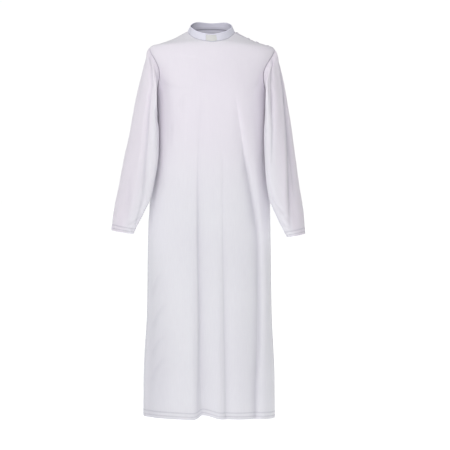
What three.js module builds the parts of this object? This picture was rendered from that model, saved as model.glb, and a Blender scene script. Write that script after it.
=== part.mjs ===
// A pullover cassock: a long white robe with a stand collar, a tab insert and a buttoned left shoulder.
// It keeps the hollow form that it has when it is worn, and every piece of cloth is a thin closed wall.
// Millimetres, +Z up. The wearer faces -Y, so the wearer's left is +X.
// The origin is the middle of the neck seam, level with that seam's two points on the shoulders.
import * as THREE from "three";

// A table's rows as objects, from its columns' names and its rows' values.
const table = (columns, ...rows) =>
  rows.map((row) => Object.fromEntries(columns.map((name, i) => [name, row[i]])));

// ---- Driving dimensions ---------------------------------------------------------------------------
const CLOTH = 1.2; // thickness of one layer of cloth, with its seam allowances
const SEAM_GAP = 0.3; // between two pieces that are sewn together
const HEM_Z = -1372; // level of the hem at the front
const HEM_SIDE_DROP = { left: 15, right: 6 }; // how much lower the hem is at the side seams
const HEM_FOLD = 20; // depth of the turned-up hem
const HEM_ZONE = 160; // height above the hem in which its level rises and falls
const UNDERARM_Z = -239; // top of the side seams
const SHOULDER_TIP_Z = -56; // outer end of the shoulder seams
const LEAN = 0.014; // how much lower the shoulders are for each millimetre to the wearer's left
// The neck seam. Its edge faces as the shoulders slope a little below it, at slopeZ.
const NECK = { halfWidth: 84, frontZ: -50, backZ: 18, slopeZ: -4 };
// The collar's wall and rim: how far the rim stands out, its levels, and its rise beside the nape.
const COLLAR = {
  wall: 2.8,
  halfWidth: 75,
  front: 84,
  back: 64,
  frontZ: -21,
  sideZ: 17,
  backZ: 38,
  crest: 5,
};
// The tab, and the window in the collar for it: how deep it is, its margin as a share of the collar's height,
// and how much smaller than it the tab is at its sides and at its ends.
const TAB = { halfWidth: 20.5, wall: 0.9, recess: 1.5, margin: 0.09, inset: 0.5, endInset: 0.03 };
const COLLAR_OPENING = { angle: 0.1, gap: 0.9 };
const CUFF_FOLD = 19; // depth of the turned-up sleeve hem
const PLACKET = { columns: 2, inset: 0.12 }; // width in columns of the front panel, inset of its ends in rows
const BUTTON = { radius: 4.4, height: 2.2, rim: 0.7, dish: 0.8, rounding: 0.4 };
const BUTTON_PLACES = [95, 137, 167, 205]; // distances from the middle of the neck

// Half widths of the body at each level. Above the shoulder tips they follow the shoulder seams.
const WIDTHS = table(
  ["z", "halfWidth"],
  [60, 70],
  [0, NECK.halfWidth],
  [-6, 95],
  [-15, 111],
  [-26, 132],
  [-39, 162],
  [-50, 195],
  [SHOULDER_TIP_Z, 217],
  [-66, 225],
  [-84, 227],
  [-112, 222],
  [-156, 210],
  [UNDERARM_Z, 198],
  [-310, 195],
  [-420, 195],
  [-510, 202],
  [-592, 215],
  [-700, 220],
  [-1000, 226],
  [-1250, 238],
  [HEM_Z, 239],
);

// How far the cloth stands in front of and behind the sides, how square the section is, and how far its
// middle lies to the wearer's left.
const DEPTHS = table(
  ["z", "front", "back", "power", "sway"],
  [60, 12, 46, 2, 3],
  [18, 16, 68, 2, 3],
  [0, 22, 78, 2, 3],
  [-12, 40, 84, 2, 4],
  [-21, 55, 88, 2, 4.5],
  [-33, 70, 93, 2.02, 5],
  [NECK.frontZ, 92, 98, 2.05, 6],
  [-100, 108, 108, 2.15, 6],
  [-170, 122, 116, 2.25, 4],
  [-260, 130, 116, 2.3, 3],
  [-400, 130, 110, 2.3, 4],
  [-560, 128, 108, 2.3, 0],
  [-700, 126, 108, 2.3, -4],
  [-1000, 124, 112, 2.3, -5],
  [HEM_Z, 126, 118, 2.3, -6],
);

// How far forward of the side the side seams lie, as an angle round the body.
const SIDE_SEAMS = table(
  ["z", "left", "right"],
  [UNDERARM_Z, 0, 0],
  [-620, 0.03, 0.14],
  [HEM_Z, 0.08, 0.3],
);

// How far the front and back halves of the armholes cut in from the side, as angles, and how high that is.
const ARMHOLE = { front: 0.54, back: 0.42, power: 1.6 };
const SLEEVE_CAP = 0.22; // share of the sleeve over which it leaves the armhole's line

// Folds: soft troughs that hang from a start level, through a middle level, to the hem. x is from the middle
// of the body, and the near side (-x) and far side (+x) of a trough can be steep or gentle.
const FOLD_COLUMNS = ["startZ", "midZ", "startX", "midX", "hemX", "near", "far", "mid", "hem", "lift"];
const FRONT_FOLDS = table(
  FOLD_COLUMNS,
  [-440, -950, -44, -46, -33, 17, 46, 7, 34, 9],
  [-760, -1000, 62, 58, 66, 22, 24, 6, 13, -1],
  [-200, -600, 88, 154, 166, 44, 19, 15, 19, -4],
  [-300, -560, -136, -138, -150, 30, 36, 3, 3, 0],
  [-280, -430, -52, -54, -60, 22, 26, 3, 0, 0],
);
const BACK_FOLDS = table(
  FOLD_COLUMNS,
  [-330, -800, -120, -140, -150, 28, 34, 9, 20, 2],
  [-420, -900, -48, -58, -62, 34, 22, 8, 24, 4],
  [-360, -850, 30, 34, 28, 24, 36, 9, 22, 3],
  [-300, -820, 104, 126, 134, 36, 26, 11, 24, 3],
);

// Sleeve sections from the armhole to the cuff. outer and inner are the section's two sides seen from the
// front, as [distance from the robe's middle, y, z]. front and back are how far the cloth stands from the
// middle between them. pull shifts both of those along x, and away shifts the back alone.
const SLEEVE_COLUMNS = ["share", "outer", "inner", "front", "back", "pull", "away"];
const SLEEVES = {
  left: table(
    SLEEVE_COLUMNS,
    [0, [223, 0, -56], [200, 0, -239], 88, 76, -22, 0],
    [0.05, [230, -1, -66], [201, -12, -250], 91, 78, -16, 8],
    [0.12, [237.5, -2, -88], [197, -40, -264], 88, 78, -12, 14],
    [0.22, [249, -4, -124], [196, -50, -290], 80, 76, -8, 13],
    [0.33, [262.5, -6, -180], [194, -61, -322], 70, 72, -3, 11],
    [0.44, [273, -10, -244], [193, -73, -364], 62, 68, 0, 9],
    [0.56, [290, -16, -348], [195, -84, -436], 56, 62, 0, 7],
    [0.67, [304, -28, -456], [200, -92, -516], 52, 58, 0, 5],
    [0.78, [318, -44, -560], [209, -98, -596], 48, 54, 0, 2],
    [0.89, [330, -60, -642], [233, -98, -662], 44, 48, 0, 0],
    [1, [335, -80, -718], [269, -96, -731], 40, 42, 0, 0],
  ),
  right: table(
    SLEEVE_COLUMNS,
    [0, [211, 0, -56], [194, 0, -239], 88, 76, -22, 0],
    [0.05, [220.5, -1, -66], [195, -12, -250], 90, 78, -16, 8],
    [0.12, [226, -2, -88], [190, -40, -264], 88, 78, -12, 14],
    [0.22, [237.5, -4, -124], [189, -50, -290], 80, 76, -8, 13],
    [0.33, [252, -6, -180], [187, -61, -322], 70, 72, -3, 11],
    [0.44, [267, -10, -244], [182, -73, -364], 62, 68, 0, 9],
    [0.56, [286, -16, -348], [184, -84, -436], 56, 62, 0, 7],
    [0.67, [308, -28, -452], [194, -92, -514], 52, 58, 0, 5],
    [0.78, [325, -44, -552], [207, -98, -590], 48, 54, 0, 2],
    [0.89, [341, -60, -632], [236, -98, -654], 44, 48, 0, 0],
    [1, [348, -80, -706], [269, -96, -719], 38, 40, 0, 0],
  ),
};

// Sleeve folds: troughs that run down the sleeve. turn is the angle round it, 0 at the inner side and
// quarter of a turn at the front; start and end are shares of the sleeve's length.
const SLEEVE_FOLD_COLUMNS = ["start", "end", "startTurn", "endTurn", "width", "depth"];
const SLEEVE_FOLDS = {
  left: table(
    SLEEVE_FOLD_COLUMNS,
    [0, 0.36, 0.43, 0.22, 0.055, 11],
    [0.1, 0.98, 0.47, 0.36, 0.045, 8],
    [0.15, 0.8, 0.72, 0.66, 0.06, 7],
  ),
  right: table(
    SLEEVE_FOLD_COLUMNS,
    [0.05, 0.9, 0.36, 0.2, 0.06, 6],
    [0.1, 0.75, 0.7, 0.64, 0.06, 7],
  ),
};

// Grid sizes: rows and columns of each wall.
const GRID = {
  frontColumns: 32,
  backColumns: 26,
  skirtRows: 13,
  armholeRows: 10,
  shoulderRows: 6,
  sleeveRows: 17,
  collarColumns: 40,
};

const WHITE_CLOTH = { color: 0xe9e7ee, roughness: 0.85, metalness: 0 };
const COLLAR_CLOTH = { color: 0xdedde8, roughness: 0.8, metalness: 0 };
const TAB_PLASTIC = { color: 0xe3e5dc, roughness: 0.45, metalness: 0 };
const BUTTON_PLASTIC = { color: 0xe6e4ec, roughness: 0.3, metalness: 0 };

// ---- Small helpers ----------------------------------------------------------------------------------
const { lerp, clamp, smoothstep } = THREE.MathUtils;
const TURN = 2 * Math.PI;

// The value of one column of a table at a given key, on a smooth curve that never overshoots its rows.
function along(unsorted, key, at, column) {
  const rows = [...unsorted].sort((a, b) => a[key] - b[key]);
  const last = rows.length - 2;
  let i = 0;
  while (i < last && at > rows[i + 1][key]) i++;
  const slope = (k) => (rows[k + 1][column] - rows[k][column]) / (rows[k + 1][key] - rows[k][key]);
  const tangent = (k) => {
    if (k === 0) return slope(0);
    if (k === rows.length - 1) return slope(last);
    const [before, after] = [slope(k - 1), slope(k)];
    return before * after <= 0 ? 0 : (2 * before * after) / (before + after);
  };
  const span = rows[i + 1][key] - rows[i][key];
  const t = clamp((at - rows[i][key]) / span, 0, 1);
  const [a, b] = [rows[i][column], rows[i + 1][column]];
  const [ta, tb] = [tangent(i) * span, tangent(i + 1) * span];
  const toB = 3 * t ** 2 - 2 * t ** 3;
  return a * (1 - toB) + b * toB + ta * (t ** 3 - 2 * t ** 2 + t) + tb * (t ** 3 - t ** 2);
}

const steps = (count) => Array.from({ length: count + 1 }, (_, i) => i / count);
const signedPower = (value, power) => Math.sign(value) * Math.abs(value) ** power;

// Each point's outward direction on a grid of points, from its neighbours along the rows and columns.
function normals(points, closed) {
  const [rows, columns] = [points.length, points[0].length];
  return points.map((row, r) =>
    row.map((_, c) => {
      const up = points[Math.min(r + 1, rows - 1)][c].clone().sub(points[Math.max(r - 1, 0)][c]);
      const before = closed ? (c + columns - 1) % columns : Math.max(c - 1, 0);
      const after = closed ? (c + 1) % columns : Math.min(c + 1, columns - 1);
      return up.cross(row[after].clone().sub(row[before])).normalize();
    }),
  );
}

// A copy of a grid of points with each point moved along its own direction.
const shifted = (points, directions, distance) =>
  points.map((row, r) => row.map((p, c) => p.clone().addScaledVector(directions[r][c], distance(r, c))));

// Lowers a point of the shoulders towards the wearer's left.
function leant(point) {
  const share = smoothstep(point.z, -320, -20);
  return point.clone().setZ(point.z - LEAN * point.x * share);
}

// A closed wall behind a grid of outer points. A tube's columns close on themselves, and a panel's don't.
function wall(outer, thickness, closed = false, outward = normals(outer, closed)) {
  const [rows, columns] = [outer.length, outer[0].length];
  const inner = shifted(outer, outward, (r) => -thickness(r));
  const index = [];
  const at = (r, c, side) => side * rows * columns + r * columns + (c % columns);
  const quad = (a, b, c, d) => index.push(a, b, c, a, c, d);
  const acrossColumns = closed ? columns : columns - 1;
  for (let r = 0; r < rows - 1; r++)
    for (let c = 0; c < acrossColumns; c++) {
      quad(at(r, c, 0), at(r + 1, c, 0), at(r + 1, c + 1, 0), at(r, c + 1, 0));
      quad(at(r, c, 1), at(r, c + 1, 1), at(r + 1, c + 1, 1), at(r + 1, c, 1));
    }
  for (let c = 0; c < acrossColumns; c++) {
    quad(at(0, c, 0), at(0, c + 1, 0), at(0, c + 1, 1), at(0, c, 1));
    quad(at(rows - 1, c, 0), at(rows - 1, c, 1), at(rows - 1, c + 1, 1), at(rows - 1, c + 1, 0));
  }
  const last = columns - 1;
  for (let r = 0; !closed && r < rows - 1; r++) {
    quad(at(r, 0, 0), at(r, 0, 1), at(r + 1, 0, 1), at(r + 1, 0, 0));
    quad(at(r, last, 0), at(r + 1, last, 0), at(r + 1, last, 1), at(r, last, 1));
  }
  const geometry = new THREE.BufferGeometry().setFromPoints([...outer.flat(), ...inner.flat()].map(leant));
  geometry.setIndex(index);
  geometry.computeVertexNormals();
  return geometry;
}

const part = new THREE.Group();
function add(name, geometry, finish) {
  const mesh = new THREE.Mesh(geometry, new THREE.MeshStandardMaterial(finish));
  mesh.name = name;
  part.add(mesh);
  return mesh;
}

// ---- The body's surface -----------------------------------------------------------------------------
// A point of the worn cloth at an angle round the body (0 at the wearer's left, a quarter turn at the
// front) and a level, without its folds.
function bodyPoint(angle, z) {
  const halfWidth = along(WIDTHS, "z", z, "halfWidth");
  const depth = Math.sin(angle) >= 0 ? -along(DEPTHS, "z", z, "front") : along(DEPTHS, "z", z, "back");
  const power = 2 / along(DEPTHS, "z", z, "power");
  const x = along(DEPTHS, "z", z, "sway") + halfWidth * signedPower(Math.cos(angle), power);
  return new THREE.Vector3(x, depth * Math.abs(Math.sin(angle)) ** power, z);
}

function bodyNormal(angle, z) {
  const [turn, rise] = [0.004, 0.5];
  const round = bodyPoint(angle + turn, z).sub(bodyPoint(angle - turn, z));
  const up = bodyPoint(angle, z + rise).sub(bodyPoint(angle, z - rise));
  return up.cross(round).normalize();
}

// The level at which the upper surface passes over a place in plan.
function levelOver(x, y) {
  let [above, below] = [WIDTHS[0].z, -150];
  for (let halving = 0; halving < 30; halving++) {
    const z = (above + below) / 2;
    const power = along(DEPTHS, "z", z, "power");
    const across = Math.abs(x - along(DEPTHS, "z", z, "sway")) / along(WIDTHS, "z", z, "halfWidth");
    const deep = Math.abs(y) / along(DEPTHS, "z", z, y < 0 ? "front" : "back");
    if (across ** power + deep ** power > 1) above = z;
    else below = z;
  }
  return (above + below) / 2;
}

// A point on the upper surface, at an angle on an oval about the neck with given end and middle levels.
function ovalPoint(angle, endZ, middleZ) {
  const power = 2 / along(DEPTHS, "z", endZ, "power");
  const [across, forward] = [signedPower(Math.cos(angle), power), signedPower(Math.sin(angle), power)];
  const sways = [middleZ, endZ].map((z) => along(DEPTHS, "z", z, "sway"));
  const x = lerp(...sways, Math.abs(across)) + along(WIDTHS, "z", endZ, "halfWidth") * across;
  const y = -forward * along(DEPTHS, "z", middleZ, forward > 0 ? "front" : "back");
  return new THREE.Vector3(x, y, levelOver(x, y));
}

const neckPoint = (angle) => ovalPoint(angle, 0, Math.sin(angle) > 0 ? NECK.frontZ : NECK.backZ);

// How deep a fold is at a point, and how much of its hem lift that point takes.
function foldDepth(fold, x, z) {
  const line = [
    { z: fold.startZ, x: fold.startX, depth: 0 },
    { z: fold.midZ, x: fold.midX, depth: fold.mid },
    { z: HEM_Z, x: fold.hemX, depth: fold.hem },
  ];
  const off = x - along(line, "z", clamp(z, HEM_Z, fold.startZ), "x");
  const share = Math.exp(-((off / (off < 0 ? fold.near : fold.far)) ** 2));
  return { depth: share * along(line, "z", clamp(z, HEM_Z, fold.startZ), "depth"), share };
}

// A point of a body panel: the surface with its folds pressed in, and the hem's own level near the hem.
function panelPoint(angle, z, folds) {
  const point = bodyPoint(angle, z);
  const inward = bodyNormal(angle, z);
  const side = Math.abs(Math.cos(angle)) ** 4;
  const above = smoothstep(z, HEM_Z, HEM_Z + HEM_ZONE);
  const drop = Math.cos(angle) > 0 ? HEM_SIDE_DROP.left : HEM_SIDE_DROP.right;
  let [depth, lift] = [0, -drop * side];
  for (const fold of folds) {
    const found = foldDepth(fold, point.x, z);
    depth += found.depth * (1 - side);
    lift += found.share * fold.lift * (1 - side);
  }
  point.addScaledVector(new THREE.Vector3(inward.x, inward.y, 0).normalize(), -depth);
  point.z += lift * (1 - above);
  return point;
}

// ---- Body panels ------------------------------------------------------------------------------------
// The armhole at a share of its way from the underarm to the shoulder tip, as an angle and a level.
function armhole(share, reach) {
  return {
    angle: reach * Math.sin(Math.PI * share) ** ARMHOLE.power,
    z: lerp(UNDERARM_Z, SHOULDER_TIP_Z, (1 - Math.cos(Math.PI * share)) / 2),
  };
}

// The rows of a body panel from hem to neck. Each has the angles of its two ends, measured from the sides,
// the level of its ends and the level of its middle.
function panelRows(front) {
  const reach = front ? ARMHOLE.front : ARMHOLE.back;
  const seamSign = front ? 1 : -1;
  const shoulderMiddle = front ? -104 : -62;
  const neckMiddle = front ? NECK.frontZ : NECK.backZ;
  const rows = [];
  const hemRows = [0, HEM_FOLD, HEM_FOLD + 2].map((rise) => HEM_Z + rise);
  const skirtRows = steps(GRID.skirtRows).map((t) => lerp(HEM_Z + 3 * HEM_FOLD, UNDERARM_Z, t));
  for (const z of [...hemRows, ...skirtRows])
    rows.push({
      z,
      middleZ: z,
      left: seamSign * along(SIDE_SEAMS, "z", z, "left"),
      right: seamSign * along(SIDE_SEAMS, "z", z, "right"),
    });
  for (const share of steps(GRID.armholeRows).slice(1)) {
    const { angle, z } = armhole(share, reach);
    const middleZ = lerp(UNDERARM_Z, shoulderMiddle, smoothstep(share, -0.4, 1.2));
    rows.push({ z, middleZ, left: angle, right: angle });
  }
  const tipMiddle = rows.at(-1).middleZ;
  const shoulder = WIDTHS.filter((row) => row.z >= SHOULDER_TIP_Z && row.z <= 0);
  for (const share of steps(GRID.shoulderRows).slice(1)) {
    const halfWidth = lerp(shoulder.at(-1).halfWidth, NECK.halfWidth, share);
    const z = along(shoulder, "halfWidth", halfWidth, "z");
    rows.push({ z, middleZ: lerp(tipMiddle, neckMiddle, share), left: 0, right: 0, oval: true });
  }
  return rows;
}

// The level along a row, from its end level to its middle level.
const sagged = (row, turn) => lerp(row.z, row.middleZ, Math.sin(turn) ** 2);

function panelPoints(front, rows) {
  const columns = front ? GRID.frontColumns : GRID.backColumns;
  const folds = front ? FRONT_FOLDS : BACK_FOLDS;
  const angleGap = SEAM_GAP / 2 / NECK.halfWidth;
  const points = rows.map((row) =>
    steps(columns).map((t) => {
      const [left, right] = [row.left + angleGap, row.right + angleGap];
      const angle = lerp(left, Math.PI - right, t);
      const signed = front ? angle : -angle;
      if (row.oval) return ovalPoint(signed, row.z, row.middleZ);
      return panelPoint(signed, sagged(row, Math.PI * t), folds);
    }),
  );
  if (!front) points.forEach((row) => row.reverse());
  return points;
}

// Each point's outward direction. At the seams it is the body's own, so that two pieces meet face to face.
function panelNormals(front, rows, points) {
  const sign = front ? 1 : -1;
  const outward = normals(points, false);
  rows.forEach((row, r) => {
    const level = Math.min(row.z, NECK.slopeZ);
    const ends = [bodyNormal(sign * row.left, level), bodyNormal(Math.PI - sign * row.right, level)];
    [outward[r][0], outward[r][points[r].length - 1]] = front ? ends : ends.reverse();
  });
  return outward;
}

function panel(front) {
  const rows = panelRows(front);
  const points = panelPoints(front, rows);
  const doubled = rows.findIndex((row) => row.z > HEM_Z + HEM_FOLD + 1);
  const thickness = (r) => (r < doubled ? 2 * CLOTH : CLOTH);
  return wall(points, thickness, false, panelNormals(front, rows, points));
}

// ---- Sleeves ----------------------------------------------------------------------------------------
function sleeveSection(sections, share) {
  const place = (column) => {
    const axes = sections.map((row) => ({ share: row.share, ...row[column] }));
    return new THREE.Vector3(...[0, 1, 2].map((axis) => along(axes, "share", share, axis)));
  };
  const section = { outer: place("outer"), inner: place("inner") };
  for (const size of ["front", "back", "pull", "away"]) section[size] = along(sections, "share", share, size);
  return section;
}

// A point of a section, at a turn round it from the inner side past the front.
function sectionPoint(section, turn) {
  const [across, deep] = [Math.cos(turn * TURN), Math.sin(turn * TURN)];
  const middle = section.outer.clone().add(section.inner).multiplyScalar(0.5);
  const half = section.inner.clone().sub(section.outer).multiplyScalar(0.5);
  const shift = section.pull * deep ** 2 + (deep < 0 ? -section.away * deep : 0);
  const depth = deep > 0 ? -section.front * deep : -section.back * deep;
  return middle.addScaledVector(half, across).add(new THREE.Vector3(shift, depth, 0));
}

// The armhole seam on the side of a sleeve, at a turn round it from the underarm past the front.
function armholePoint(sign, turn) {
  const front = turn <= 0.5;
  const { angle, z } = armhole(front ? 2 * turn : 2 - 2 * turn, front ? ARMHOLE.front : ARMHOLE.back);
  const signed = front ? angle : -angle;
  const bodyAngle = sign > 0 ? signed : Math.PI - signed;
  return { point: bodyPoint(bodyAngle, z), normal: bodyNormal(bodyAngle, z) };
}

// How deep a sleeve's trough is at a share of its length and a turn round it.
function troughDepth(trough, share, turn) {
  const progress = clamp((share - trough.start) / (trough.end - trough.start), 0, 1);
  const off = (turn - lerp(trough.startTurn, trough.endTurn, progress)) / trough.width;
  return trough.depth * Math.sin(Math.PI * progress) ** 0.8 * Math.exp(-(off ** 2));
}

function sleeve(name) {
  const sign = name === "left" ? 1 : -1;
  const sections = SLEEVES[name];
  const fold = CUFF_FOLD / (sections[0].outer[2] - sections.at(-1).outer[2]);
  const shares = [...steps(GRID.sleeveRows).map((t) => t * (1 - 2 * fold)), 1 - 1.1 * fold, 1 - fold, 1];
  const turns = steps(2 * GRID.armholeRows).slice(0, -1);
  const mirrored = (p) => new THREE.Vector3(sign * p.x, p.y, p.z);
  const seam = turns.map((turn) => armholePoint(sign, turn));
  const points = shares.map((share) => {
    const section = sleeveSection(sections, share);
    const rest = 1 - smoothstep(share, 0, SLEEVE_CAP);
    return turns.map((turn, c) => {
      const correction = mirrored(seam[c].point).sub(sectionPoint(sleeveSection(sections, 0), turn));
      return sectionPoint(section, turn).addScaledVector(correction, rest);
    });
  });
  const plain = normals(points, true);
  const troughs = SLEEVE_FOLDS[name];
  const depth = (r, c) => troughs.reduce((sum, trough) => sum + troughDepth(trough, shares[r], turns[c]), 0);
  const folded = shifted(points, plain, (r, c) => -depth(r, c));
  const outward = normals(folded, true);
  folded[0].forEach((p, c) => {
    outward[0][c] = mirrored(seam[c].normal);
    p.addScaledVector(folded[1][c].clone().sub(p).normalize(), SEAM_GAP);
  });
  const doubled = shares.findIndex((share) => share > 1 - 1.05 * fold);
  const thickness = (r) => (r < doubled ? CLOTH : 2 * CLOTH);
  const sided = (grid) => (sign > 0 ? grid : grid.map((row) => row.map(mirrored).reverse()));
  return wall(sided(folded), thickness, true, sided(outward));
}

// ---- Collar and tab ---------------------------------------------------------------------------------
// A point of the collar's outer face, at an angle round the neck and a share of its height.
function collarPoint(angle, share) {
  const [across, forward] = [Math.cos(angle), Math.sin(angle)];
  const front = forward >= 0;
  const dip = Math.abs(forward) ** (front ? 1.3 : 0.7);
  const crest = front ? 0 : COLLAR.crest * Math.sin(2 * angle) ** 2;
  const seam = neckPoint(angle);
  const sway = along(DEPTHS, "z", 0, "sway");
  const rim = new THREE.Vector3(
    sway + COLLAR.halfWidth * across,
    -forward * (front ? COLLAR.front : COLLAR.back),
    lerp(COLLAR.sideZ, front ? COLLAR.frontZ : COLLAR.backZ, dip) + crest,
  );
  seam.z += 2 * SEAM_GAP; // straight up, which is about one seam gap across the sloping seam
  return seam.lerp(rim, share);
}

const inWindow = (angle, share) =>
  Math.abs(angle - Math.PI / 2) < tabAngle() + 1e-9 && share > TAB.margin && share < 1 - TAB.margin;
const tabAngle = () => TAB.halfWidth / COLLAR.front;

function collar() {
  const gap = COLLAR_OPENING.gap / COLLAR.halfWidth;
  const [first, last] = [COLLAR_OPENING.angle, COLLAR_OPENING.angle + TURN - gap];
  const [edge, closest] = [0.002, 0.03]; // width of the window's side faces, least angle between two columns
  const plain = steps(GRID.collarColumns).map((t) => lerp(first, last, t));
  const sides = [-1, 1].flatMap((side) => [0, edge].map((off) => Math.PI / 2 + side * (tabAngle() + off)));
  const clear = plain.filter((angle) => sides.every((other) => Math.abs(other - angle) > closest));
  const angles = [...clear, ...sides].sort((a, b) => a - b);
  const shares = [0, TAB.margin, TAB.margin + 0.01, 0.5, 1 - TAB.margin - 0.01, 1 - TAB.margin, 1];
  const points = shares.map((share) => angles.map((angle) => collarPoint(angle, share)));
  const outward = normals(points, false);
  const inner = shifted(points, outward, () => -COLLAR.wall);
  const faces = shifted(points, outward, (r, c) => (inWindow(angles[c], shares[r]) ? -TAB.recess : 0));
  const through = faces.map((row, r) => row.map((p, c) => p.clone().sub(inner[r][c])));
  return wall(faces, () => 1, false, through);
}

function collarTab() {
  const margin = TAB.margin + TAB.endInset;
  const shares = [margin, 0.5, 1 - margin];
  const half = tabAngle() - TAB.inset / COLLAR.front;
  const angles = steps(8).map((t) => Math.PI / 2 + lerp(-half, half, t));
  const face = shares.map((share) => angles.map((angle) => collarPoint(angle, share)));
  const sunk = shifted(face, normals(face, false), () => TAB.wall + SEAM_GAP - TAB.recess);
  return wall(sunk, () => TAB.wall);
}

// ---- Shoulder placket and buttons -------------------------------------------------------------------
// The placket's outer points: those of the front panel beside its left shoulder seam, moved out.
function placketPoints() {
  const rows = panelRows(true);
  const points = panelPoints(true, rows);
  const outward = panelNormals(true, rows, points);
  const first = rows.findIndex((row) => row.oval) - 1;
  const strip = (grid) => grid.slice(first).map((row) => row.slice(0, PLACKET.columns + 1));
  const raised = shifted(strip(points), strip(outward), () => SEAM_GAP + CLOTH);
  const end = raised.length - 1;
  const between = (from, to, share) => raised[from].map((p, c) => p.clone().lerp(raised[to][c], share));
  return [between(0, 1, PLACKET.inset), ...raised.slice(1, end), between(end, end - 1, 2 * PLACKET.inset)];
}

function button() {
  const { radius, height, rim, dish, rounding } = BUTTON;
  const profile = [
    [0, 0],
    [radius - rounding, 0],
    [radius, rounding],
    [radius, height - rounding],
    [radius - rounding, height],
    [radius - rim, height],
    [radius - rim - rounding, height - dish],
    [0, height - dish],
  ].map(([r, h]) => new THREE.Vector2(r, h));
  return new THREE.LatheGeometry(profile, 12);
}

// Sets a button on the middle of the placket, at a distance from the middle of the neck.
function placeButton(mesh, distance) {
  const points = placketPoints();
  const middle = PLACKET.columns / 2;
  const outward = normals(points, false).map((row) => row[middle]);
  const line = points.map((row) => row[middle]);
  const after = Math.max(1, line.findIndex((p) => p.x < distance));
  const share = (line[after - 1].x - distance) / (line[after - 1].x - line[after].x);
  const direction = outward[after - 1].clone().lerp(outward[after], share).normalize();
  const place = line[after - 1].clone().lerp(line[after], share).addScaledVector(direction, SEAM_GAP);
  mesh.position.copy(leant(place));
  mesh.quaternion.setFromUnitVectors(new THREE.Vector3(0, 1, 0), direction);
}

// ---- The whole robe ---------------------------------------------------------------------------------
add("front_panel", panel(true), WHITE_CLOTH);
add("back_panel", panel(false), WHITE_CLOTH);
add("sleeve_left", sleeve("left"), WHITE_CLOTH);
add("sleeve_right", sleeve("right"), WHITE_CLOTH);
add("collar", collar(), COLLAR_CLOTH);
add("collar_tab", collarTab(), TAB_PLASTIC);
add("shoulder_placket", wall(placketPoints(), () => CLOTH), WHITE_CLOTH);
BUTTON_PLACES.forEach((distance, i) => {
  placeButton(add(`button_${i + 1}`, button(), BUTTON_PLASTIC), distance);
});

export default part;
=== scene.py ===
"""Looks of the cassock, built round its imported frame: thin cloth shells, sewing, tab, buttons, studio."""

import math
from types import SimpleNamespace

import bpy
import numpy as np
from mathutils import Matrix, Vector


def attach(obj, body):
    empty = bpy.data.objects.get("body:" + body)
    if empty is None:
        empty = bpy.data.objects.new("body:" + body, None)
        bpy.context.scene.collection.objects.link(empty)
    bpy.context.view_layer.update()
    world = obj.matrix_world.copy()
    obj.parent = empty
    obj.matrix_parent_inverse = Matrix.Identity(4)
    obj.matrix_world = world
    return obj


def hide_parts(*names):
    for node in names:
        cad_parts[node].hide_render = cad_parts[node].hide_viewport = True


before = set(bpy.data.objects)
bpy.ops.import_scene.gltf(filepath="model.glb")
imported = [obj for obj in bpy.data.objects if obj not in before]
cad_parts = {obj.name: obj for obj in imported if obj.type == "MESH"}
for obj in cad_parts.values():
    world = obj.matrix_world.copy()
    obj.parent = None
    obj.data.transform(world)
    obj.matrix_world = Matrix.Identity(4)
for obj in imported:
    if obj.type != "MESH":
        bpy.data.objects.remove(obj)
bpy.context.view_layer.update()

MM = 0.001
TURN = 2 * math.pi

# ---- Dimensions, in millimetres ---------------------------------
# They are the solids' own, but some folds and the sleeves' inner lines follow the photo more closely.
CLOTH = 1.0
HEM_Z, UNDERARM_Z = -1372, -239
HEM_SIDE_DROP = (15, 6)  # on the wearer's left and right
HEM_FOLD, HEM_LINES, HEM_ZONE = 23, (10, 23), 160  # folds lift the hem within its zone
TIP_HALF, TIP_Z = 217, -56
LEAN = 0.014  # how much lower the wearer's left shoulder hangs, for each mm from the middle
NECK_HALF, NECK_FRONT, NECK_BACK = 84, -50, 18
RIM_HALF, RIM_FRONT, RIM_BACK = 75, 84, 64
RIM_FRONT_Z, RIM_SIDE_Z, RIM_BACK_Z, RIM_CREST, RIM_SHIFT = -21, 17, 38, 5, 3
COLLAR_WALL, COLLAR_HEIGHT, COLLAR_LIFT = 2.4, 45.0, 0.4
COLLAR_LINES = (0.055, 0.915)
TAB_HALF, TAB_MARGIN, TAB_RECESS = 20.5, 0.09, 1.5
OPENING_ANGLE, OPENING_GAP = 0.1, 0.9
PLATE, PLATE_GAP, PLATE_SIDE = 0.8, 0.4, 0.5
CUFF_FOLD, CUFF_LINES = 19, (8, 19)
CUFF_GIRTH, SLEEVE_GIRTH = 170, 374
SHOULDER_STITCH, PLACKET_STITCH = 9, 1.9
PLACKET_SHARE = 2 / 32
BUTTON_HEIGHT, BUTTON_HOLE, BUTTON_GAP, BAR_HEIGHT = 1.8, 0.85, 0.15, 1.05
BUTTON_PLACES = (95, 137, 167, 205)
ARMHOLE_FRONT, ARMHOLE_BACK, ARMHOLE_POWER = 0.54, 0.42, 1.6
SLEEVE_CAP = 0.22
# How far a seam rolls in, stitches draw the cloth in, and a turned-up hem or cuff stands out
SEAM_ROLL, DRAWN_IN, STANDS_OUT = 0.9, 0.6, 0.5
# How much of the stitched lines' darker colour each kind of line has: partly the seam allowance showing
# through the thin cloth, partly painted shade in the stitched grooves
SEAM_TONE, HEM_TONE, CUFF_TONE, SHOULDER_TONE, COLLAR_TONES = 0.5, 0.42, 0.45, 0.4, (0.8, 0.3)

# level, half width
WIDTHS = (
    (60, 70), (0, NECK_HALF), (-6, 95), (-15, 111), (-26, 132), (-39, 162), (-50, 195), (TIP_Z, TIP_HALF),
    (-66, 225), (-84, 227), (-112, 222), (-156, 210), (UNDERARM_Z, 198), (-310, 195), (-420, 195),
    (-510, 202), (-592, 215), (-700, 220), (-1000, 226), (-1250, 238), (HEM_Z, 239),
)
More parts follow.
